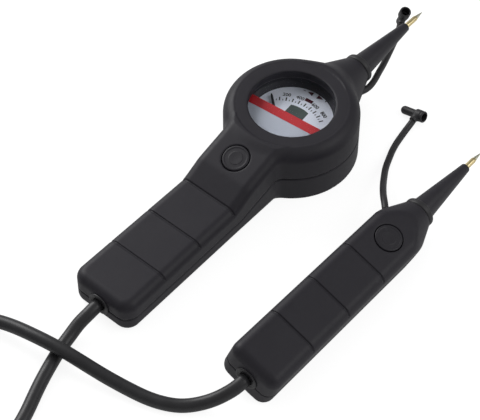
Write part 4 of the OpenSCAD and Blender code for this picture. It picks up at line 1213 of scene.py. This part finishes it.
@dataclass
class PlainHandset(Handset):
    """The plain handset: a rounded bar with two belly flats and a coned nose, lying rolled."""

    prefix: str = "probe"
    grooves: tuple[float, ...] = (29.9, 57.1, 84.3)
    screws: tuple[Triple, ...] = ((9, 8, -8.3), (-9, 8, -8.3), (9, 114.5, -8.3),
                                  (-9, 114.5, -8.3))
    boss_r: float = 3.4
    seam_gap: float = 0.2
    cone_l: float = 37.0
    tip_l: float = 7.4
    across: Pair = (-16.2, 16.2)
    along: Pair = (-1.2, 134.0)
    top_span: Pair = (-3.4, 14.4)
    bottom_span: Pair = (-16.4, -0.6)
    grid_step: float = 0.55
    axis_z: float = 0.0
    tail_z: float = 0.0
    room_end: float = 112.0
    tail_bore_y: float = 6.0
    nose_bore_y: float = 110.0
    place: Triple = (85.6, -134.9, 14.4145)
    roll: float = 18.5
    length: float = 132.0
    half_w: float = 14.7
    taper: float = 0.4
    waist_y: float = 60.0
    top_z: float = 13.2
    top_fall: float = 0.5
    fall_end: float = 106.0
    keel: float = 15.2
    edge: float = 5.6
    nose_r: float = 8.6
    nose_slope: float = 0.425
    nose_lean: float = 0.928
    seam_z: float = -2.0
    button_y: float = 103.0

    def seam(self, y: Array) -> Array | float:
        """Height of the parting line, the same all along."""
        return self.seam_z

    def outer(self, x: Array, y: Array, z: Array) -> Array:
        """Field of the body: a rounded bar with two belly flats, cut by the nose's cone."""
        top = self.top_z - np.interp(y, [0, self.fall_end], [self.top_fall, 0])
        half = np.clip(self.half_w + self.taper * (1 - y / self.waist_y),
                       self.half_w - self.taper, self.half_w + self.taper)
        bar = box_field([np.abs(x) - half + self.edge,
                         np.maximum(z - top, -z - self.keel) + self.edge,
                         self.edge - y], self.edge)
        a = math.radians(self.roll)
        belly = np.abs(x) * math.sin(a) - (z + self.keel) * math.cos(a)
        bar = soft_max(bar, belly, 1.6)
        rho = np.sqrt(x * x + z * z)
        cone = (rho - self.nose_r - (self.length - y) * self.nose_slope) * self.nose_lean
        bar = soft_max(bar, cone, 1.3)
        return soft_max(bar, y - self.length, 0.6)

    def top(self, x: Array, y: Array, z: Array) -> Array:
        """Field of the upper half, with grooves and button hole."""
        outer = self.outer(x, y, z)
        body = self.grooved(outer, outer, y, z, self.top_z)
        body = np.maximum(body, -self.hollow(x, y, z, outer))
        hole = np.maximum(np.sqrt(x * x + (y - self.button_y) ** 2) - self.hole_r, 6 - z)
        body = soft_max(body, -hole, self.edge_blend)
        return soft_max(body, self.seam(y) + self.seam_gap - z, self.edge_blend)

    def build(self) -> None:
        """Makes every visible piece, in a frame with Y along the probe and Z out of the button."""
        seat = seat_about(self.place, ("Y", self.roll))
        self.halves(seat)
        self.fittings(seat.then(0, self.button_y, self.top_z),
                      seat.then(0, self.length, 0).along_y(), seat.along_y())


# The dial under the lens
@dataclass
class Dial:
    """The dial: plate with its print, liner, cover with the red band, pointer and lens."""

    turn: float = 5.5
    face_z: float = 22.8
    pivot_y: float = -12.0
    rest: float = 43.0
    plate_r: float = 25.6
    liner_r: float = 22.0
    liner_top_r: float = 24.4
    mark_r: float = 22.3
    number_r: float = 26.6
    sign_y: float = 20.15
    cover_r: float = 24.15
    cover_y: float = -1.4
    cover_z: Pair = (26.2, 27.2)
    band_y: Pair = (-1.42, -6.9)
    band_z: Pair = (27.2, 27.34)
    lens_r: float = 25.95
    lens_z: Pair = (27.62, 28.98)

    def seat(self) -> Seat:
        """The dial's own frame, turned a little in the head."""
        return seat_about((0, 0, 0), ("Z", self.turn))

    def polar(self, r: Array | float, degrees: float) -> Array:
        """Places at radii and one angle from the dial's upright, round the pivot."""
        a = math.radians(degrees)
        return np.stack([r * math.sin(a), self.pivot_y + r * math.cos(a)], -1)

    def stroke(self, r0: float, r1: float, degrees: float, width: float) -> Array:
        """Outline of a straight radial mark.

        Args:
            r0: radius of its inner end.
            r1: radius of its outer end.
            degrees: its angle from the dial's upright.
            width: its width.

        Returns:
            The mark's four corners.
        """
        a = math.radians(degrees)
        side = np.array([math.cos(a), -math.sin(a)]) * width / 2
        inner, outer = self.polar(np.array([r0, r1]), degrees)
        return np.array([inner - side, outer - side, outer + side, inner + side])

    def print_marks(self) -> None:
        """The scale's marks and numbers, and the signs beside the lamps."""
        low, high = self.face_z + 0.01, self.face_z + 0.06
        parts: list[Piece] = []
        for i in range(19):
            end, width = (23.4, 0.4) if i % 2 else (24.7, 0.66)
            mark = self.stroke(self.mark_r, end, -42.0 + 4.35 * i, width)
            parts.append(flat_piece(f"mark_{i}", mark, low, high, self.seat()))
        for text, angle in (("200", -25.0), ("400", -9.0), ("600", 12.0), ("800", 28.0)):
            parts.append(self.number(text, self.number_r, angle, 3.0))
        corners = np.array([[-1, -1], [1, -1], [1, 1], [-1, 1]])
        for name, x, half in (("minus", -5.3, (0.75, 0.17)), ("plus", 8.2, (0.75, 0.17)),
                              ("plus_upright", 8.2, (0.17, 0.75))):
            sign = corners * half + (x, self.sign_y)
            parts.append(flat_piece(name, sign, low, high, self.seat()))
        dress(join("dial_print", parts), Palette.INK)

    def number(self, text: str, r: float, degrees: float, size: float) -> Piece:
        """A plain number on the scale, made a mesh and turned to stand on its radius.

        Args:
            text: the number.
            r: radius of its middle.
            degrees: its angle from the dial's upright.
            size: its height.

        Returns:
            The number's mesh as a piece.
        """
        name = f"number_{text}"
        letters = bpy.data.curves.new(name, "FONT")
        letters.body = text
        letters.size = size
        letters.align_x = letters.align_y = "CENTER"
        letters.extrude = 0.02
        letters.offset = 0.07
        letters.resolution_u = 3
        holder = link_object(name, letters)
        bpy.context.view_layer.update()
        shown = holder.evaluated_get(bpy.context.evaluated_depsgraph_get())
        mesh = bpy.data.meshes.new_from_object(shown)
        bpy.data.objects.remove(holder)
        points = np.zeros(len(mesh.vertices) * 3)
        mesh.vertices.foreach_get("co", points)
        upright = seat_about((*self.polar(r, degrees), self.face_z + 0.04), ("Z", -degrees))
        placed = self.seat().world(upright.world(points.reshape(-1, 3)))
        mesh.vertices.foreach_set("co", (placed * MM).ravel())
        mesh.update()
        return link_object(name, mesh)

    def plate(self) -> None:
        """The white plate: a disc with a fine rounded rim."""
        profile = rounded([(0, 22.0), (self.plate_r, 22.0, 0.1), (self.plate_r, 22.78, 0.1),
                           (0, 22.78)], 2)
        dress(lathe("dial_face_plate", profile, Seat(), 128), Palette.PLATE, CASE,
              ["dial_plate"])

    def liner(self) -> None:
        """The dark conical ring between the plate and the lens."""
        r, top_r, top = self.liner_r, self.liner_top_r, 27.55
        profile = rounded([(r, 22.82), (self.plate_r, 22.82, 0.1), (self.plate_r, top, 0.1),
                           (top_r, top, 0.2), (top_r, 25.4, 0.3), (r, 22.9)], 3)
        dress(lathe("dial_liner", profile, Seat(), 128), Palette.INNER, CASE,
              ["dial_surround"])

    def cover(self) -> None:
        """The white cover over the movement with its two posts, and the red band on it.

        The cover is the part of a disc below a straight edge, and the band runs along that edge
        to the same arc, where x is the root of r squared less y squared.
        """
        r, seat = self.cover_r, self.seat()
        dip = math.asin(self.cover_y / r)
        a = np.linspace(math.pi - dip, TURN + dip, 90)
        plate = flat_piece("cover_plate", np.stack([r * np.cos(a), r * np.sin(a)], -1),
                           *self.cover_z, seat)
        post = rounded([(0, 22.8), (1.5, 22.8, 0.1), (1.5, 26.3, 0.1), (0, 26.3)], 3)
        posts = [lathe(f"post_{s}", post, seat.then(s * 12, -14, 0), 24) for s in (-1, 1)]
        dress(join("dial_cover_plate", [plate, *posts]), Palette.COVER, CASE, ["dial_cover"])
        y = np.linspace(*self.band_y, 24)
        left = np.stack([-np.sqrt(r * r - y ** 2), y], -1)
        outline = np.concatenate([left, (left * [-1, 1])[::-1]])
        dress(flat_piece("dial_red_band", outline, *self.band_z, seat), Palette.RED, CASE,
              ["dial_band"])

    def pointer(self) -> None:
        """The pointer: hub, tapered blade and short tail, rising slightly to a ridge."""
        spin = seat_about(self.seat().then(0, self.pivot_y, 0).origin,
                          ("Z", self.turn + self.rest))
        y = np.array([-6.0, -5.6, -2.0, 0.0, 16.0, 24.0, 25.6, 26.5])
        half = np.array([0.4, 0.8, 0.95, 1.0, 0.8, 0.6, 0.45, 0.05])
        section = ((-1, 23.95), (1, 23.95), (1, 24.15), (0, 24.3), (-1, 24.15))
        rings = np.stack([np.stack([half * s, y, np.full_like(y, z)], -1) for s, z in section], 1)
        faces = grid_faces(len(y), len(section))[:, ::-1]
        blade = place_mesh("blade", spin.world(rings.reshape(-1, 3)), faces, smooth=False)
        hub = lathe("hub", rounded([(0, 23.9), (1.9, 23.9, 0.1), (1.9, 24.3, 0.15),
                                    (0.9, 24.3, 0.1), (0.8, 24.4), (0, 24.4)], 3), spin, 32)
        dress(join("needle_pointer", [blade, hub]), Palette.INK, "pointer", ["pointer"])

    def lens(self) -> None:
        """The clear window: a flat disc with a fine bevel, shaded flat so it bends no light."""
        (low, high), r = self.lens_z, self.lens_r
        profile = rounded([(0, low), (r, low, 0.2), (r, high, 0.2), (0, high)], 1)
        piece = lathe("clear_window", profile, Seat(), 128, smooth=False)
        piece.data.materials.append(Palette.clear())
        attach(piece, CASE)
        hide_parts("window_lens")

    def build(self) -> None:
        """Makes the dial's visible pieces."""
        self.plate()
        self.liner()
        self.cover()
        self.print_marks()
        self.pointer()
        self.lens()


def join(name: str, parts: Sequence[Piece]) -> Piece:
    """Joins meshes that sit at the origin into one piece.

    Args:
        name: the joined piece's name.
        parts: the meshes, which are used up.

    Returns:
        The joined piece.
    """
    points, faces, offset = [], [], 0
    for part in parts:
        mesh = part.data
        mesh.calc_loop_triangles()
        co = np.zeros(len(mesh.vertices) * 3)
        mesh.vertices.foreach_get("co", co)
        tri = np.zeros(len(mesh.loop_triangles) * 3, dtype=np.int32)
        mesh.loop_triangles.foreach_get("vertices", tri)
        points.append(co.reshape(-1, 3) / MM)
        faces.append(tri.reshape(-1, 3) + offset)
        offset += len(co) // 3
        bpy.data.objects.remove(part)
    return place_mesh(name, np.concatenate(points), np.concatenate(faces), smooth=False)


# What stays from the CAD
KEPT_NODES: tuple[tuple[Finish, tuple[str, ...]], ...] = (
    (Palette.DISPLAY, ("display_window",)),
    (Palette.LAMP, ("indicator_lenses",)),
    (Palette.RUBBER, ("main_gasket", "window_seal")),
    (Palette.BOARD, ("display_board", "main_board", "probe_board")),
    (Palette.INNER, ("dial_carrier", "board_parts", "main_switch", "switch_bracket",
                     "main_clamp", "probe_switch")),
    (Palette.STEEL, ("carrier_screws", "pivot_shaft", "main_button_spring", "main_clamp_screws",
                     "main_screws", "probe_button_spring", "probe_screws")),
    (Palette.BRONZE, ("coil_former", "pivot_bearings", "hairsprings", "load_ptc")),
    (Palette.MAGNET, ("core_magnet", "yoke_ring")),
    (Palette.BRASS, ("movement_base", "movement_bridge")),
    (Palette.CERAMIC, ("series_resistors", "probe_resistors")),
    (Palette.CABLE, ("main_cable_end", "probe_cable_end")),
)


# Studio
@dataclass
class Studio:
    """Camera, lamps, floor and backdrop."""

    target: Triple = (13.4, -56.6, 10.0)
    back: Triple = (0.4129, -0.4750, 0.7771)
    distance: float = 974.7
    lens: float = 142.5
    floor_half: float = 2500.0

    def camera(self) -> None:
        """The camera at the photograph's angle, square to the line back to its target."""
        data = bpy.data.cameras.new("camera")
        data.lens = self.lens
        data.sensor_width = 36.0
        data.clip_start, data.clip_end = 0.05, 20.0
        back = Vector(self.back).normalized()
        camera = link_object("camera", data)
        self.point(camera, (Vector(self.target) + back * self.distance) * MM, -back)
        bpy.context.scene.camera = camera

    def point(self, thing: Piece, place: Vector, way: Vector) -> None:
        """Puts a camera or lamp at a place in metres, looking along a direction."""
        thing.location = place
        thing.rotation_mode = "QUATERNION"
        thing.rotation_quaternion = way.to_track_quat("-Z", "Y")

    def lamp(self, name: str, place: Triple, power: float) -> None:
        """A square area lamp, 0.9 m wide, that faces the middle of the object."""
        data = bpy.data.lights.new(name, "AREA")
        data.size = 0.9
        data.energy = power
        self.point(link_object(name, data), Vector(place), Vector((0, -0.05, 0)) - Vector(place))

    def floor(self) -> None:
        """A pale floor that shows white to the camera and keeps the object's shadow."""
        material, tree = new_material("floor_paper")
        tree.nodes.clear()
        path = add_node(tree, "LightPath").outputs
        mirrored = math_node(tree, "MULTIPLY", path["Is Glossy Ray"], 0.45)
        seen = math_node(tree, "MAXIMUM", path["Is Camera Ray"], mirrored)
        seen = math_node(tree, "MAXIMUM", seen, path["Is Transmission Ray"])
        paper = add_node(tree, "BsdfDiffuse", {"Color": (0.30, 0.30, 0.30, 1)})
        glow = add_node(tree, "Emission", {"Color": (0.85, 0.85, 0.85, 1), "Strength": seen})
        both = add_node(tree, "AddShader", {0: paper.outputs[0], 1: glow.outputs[0]})
        add_node(tree, "OutputMaterial", {"Surface": both.outputs[0]})
        corners = np.array([[-1, -1, 0], [1, -1, 0], [1, 1, 0], [-1, 1, 0]]) * self.floor_half
        plane = place_mesh("floor", corners, np.array([[0, 1, 2, 3]]), smooth=False)
        plane.data.materials.append(material)

    def world(self) -> None:
        """A soft white surround that the camera sees as white."""
        world = bpy.data.worlds.new("studio")
        bpy.context.scene.world = world
        world.use_nodes = True
        tree = world.node_tree
        path = add_node(tree, "LightPath").outputs
        shown = math_node(tree, "MULTIPLY", path["Is Camera Ray"], 0.45)
        mirrored = math_node(tree, "MULTIPLY", path["Is Glossy Ray"], -0.35)
        strength = math_node(tree, "ADD", math_node(tree, "ADD", shown, mirrored), 0.55)
        feed(tree, tree.nodes["Background"], {"Color": (1.0, 1.0, 1.0, 1), "Strength": strength})

    def build(self) -> None:
        """Sets up the floor, the surround, the lamps and the view."""
        self.floor()
        self.world()
        self.lamp("key_lamp", (-1.35, 0.12, 0.88), 15.0)
        self.lamp("side_lamp", (1.1, 0.5, 1.0), 5.5)
        bpy.context.scene.view_settings.view_transform = "Standard"


def main() -> None:
    """Builds camera and cords, then the handsets and the dial, and reports each piece."""
    logging.basicConfig(level=logging.INFO, format="%(message)s")
    studio = Studio()
    studio.camera()
    Leads().build()
    DialHandset().build()
    Dial().build()
    PlainHandset().build()
    for finish, nodes in KEPT_NODES:
        for node in nodes:
            dress_node(node, finish)
    studio.build()
    bpy.context.view_layer.update()


if __name__ == "__main__":
    main()
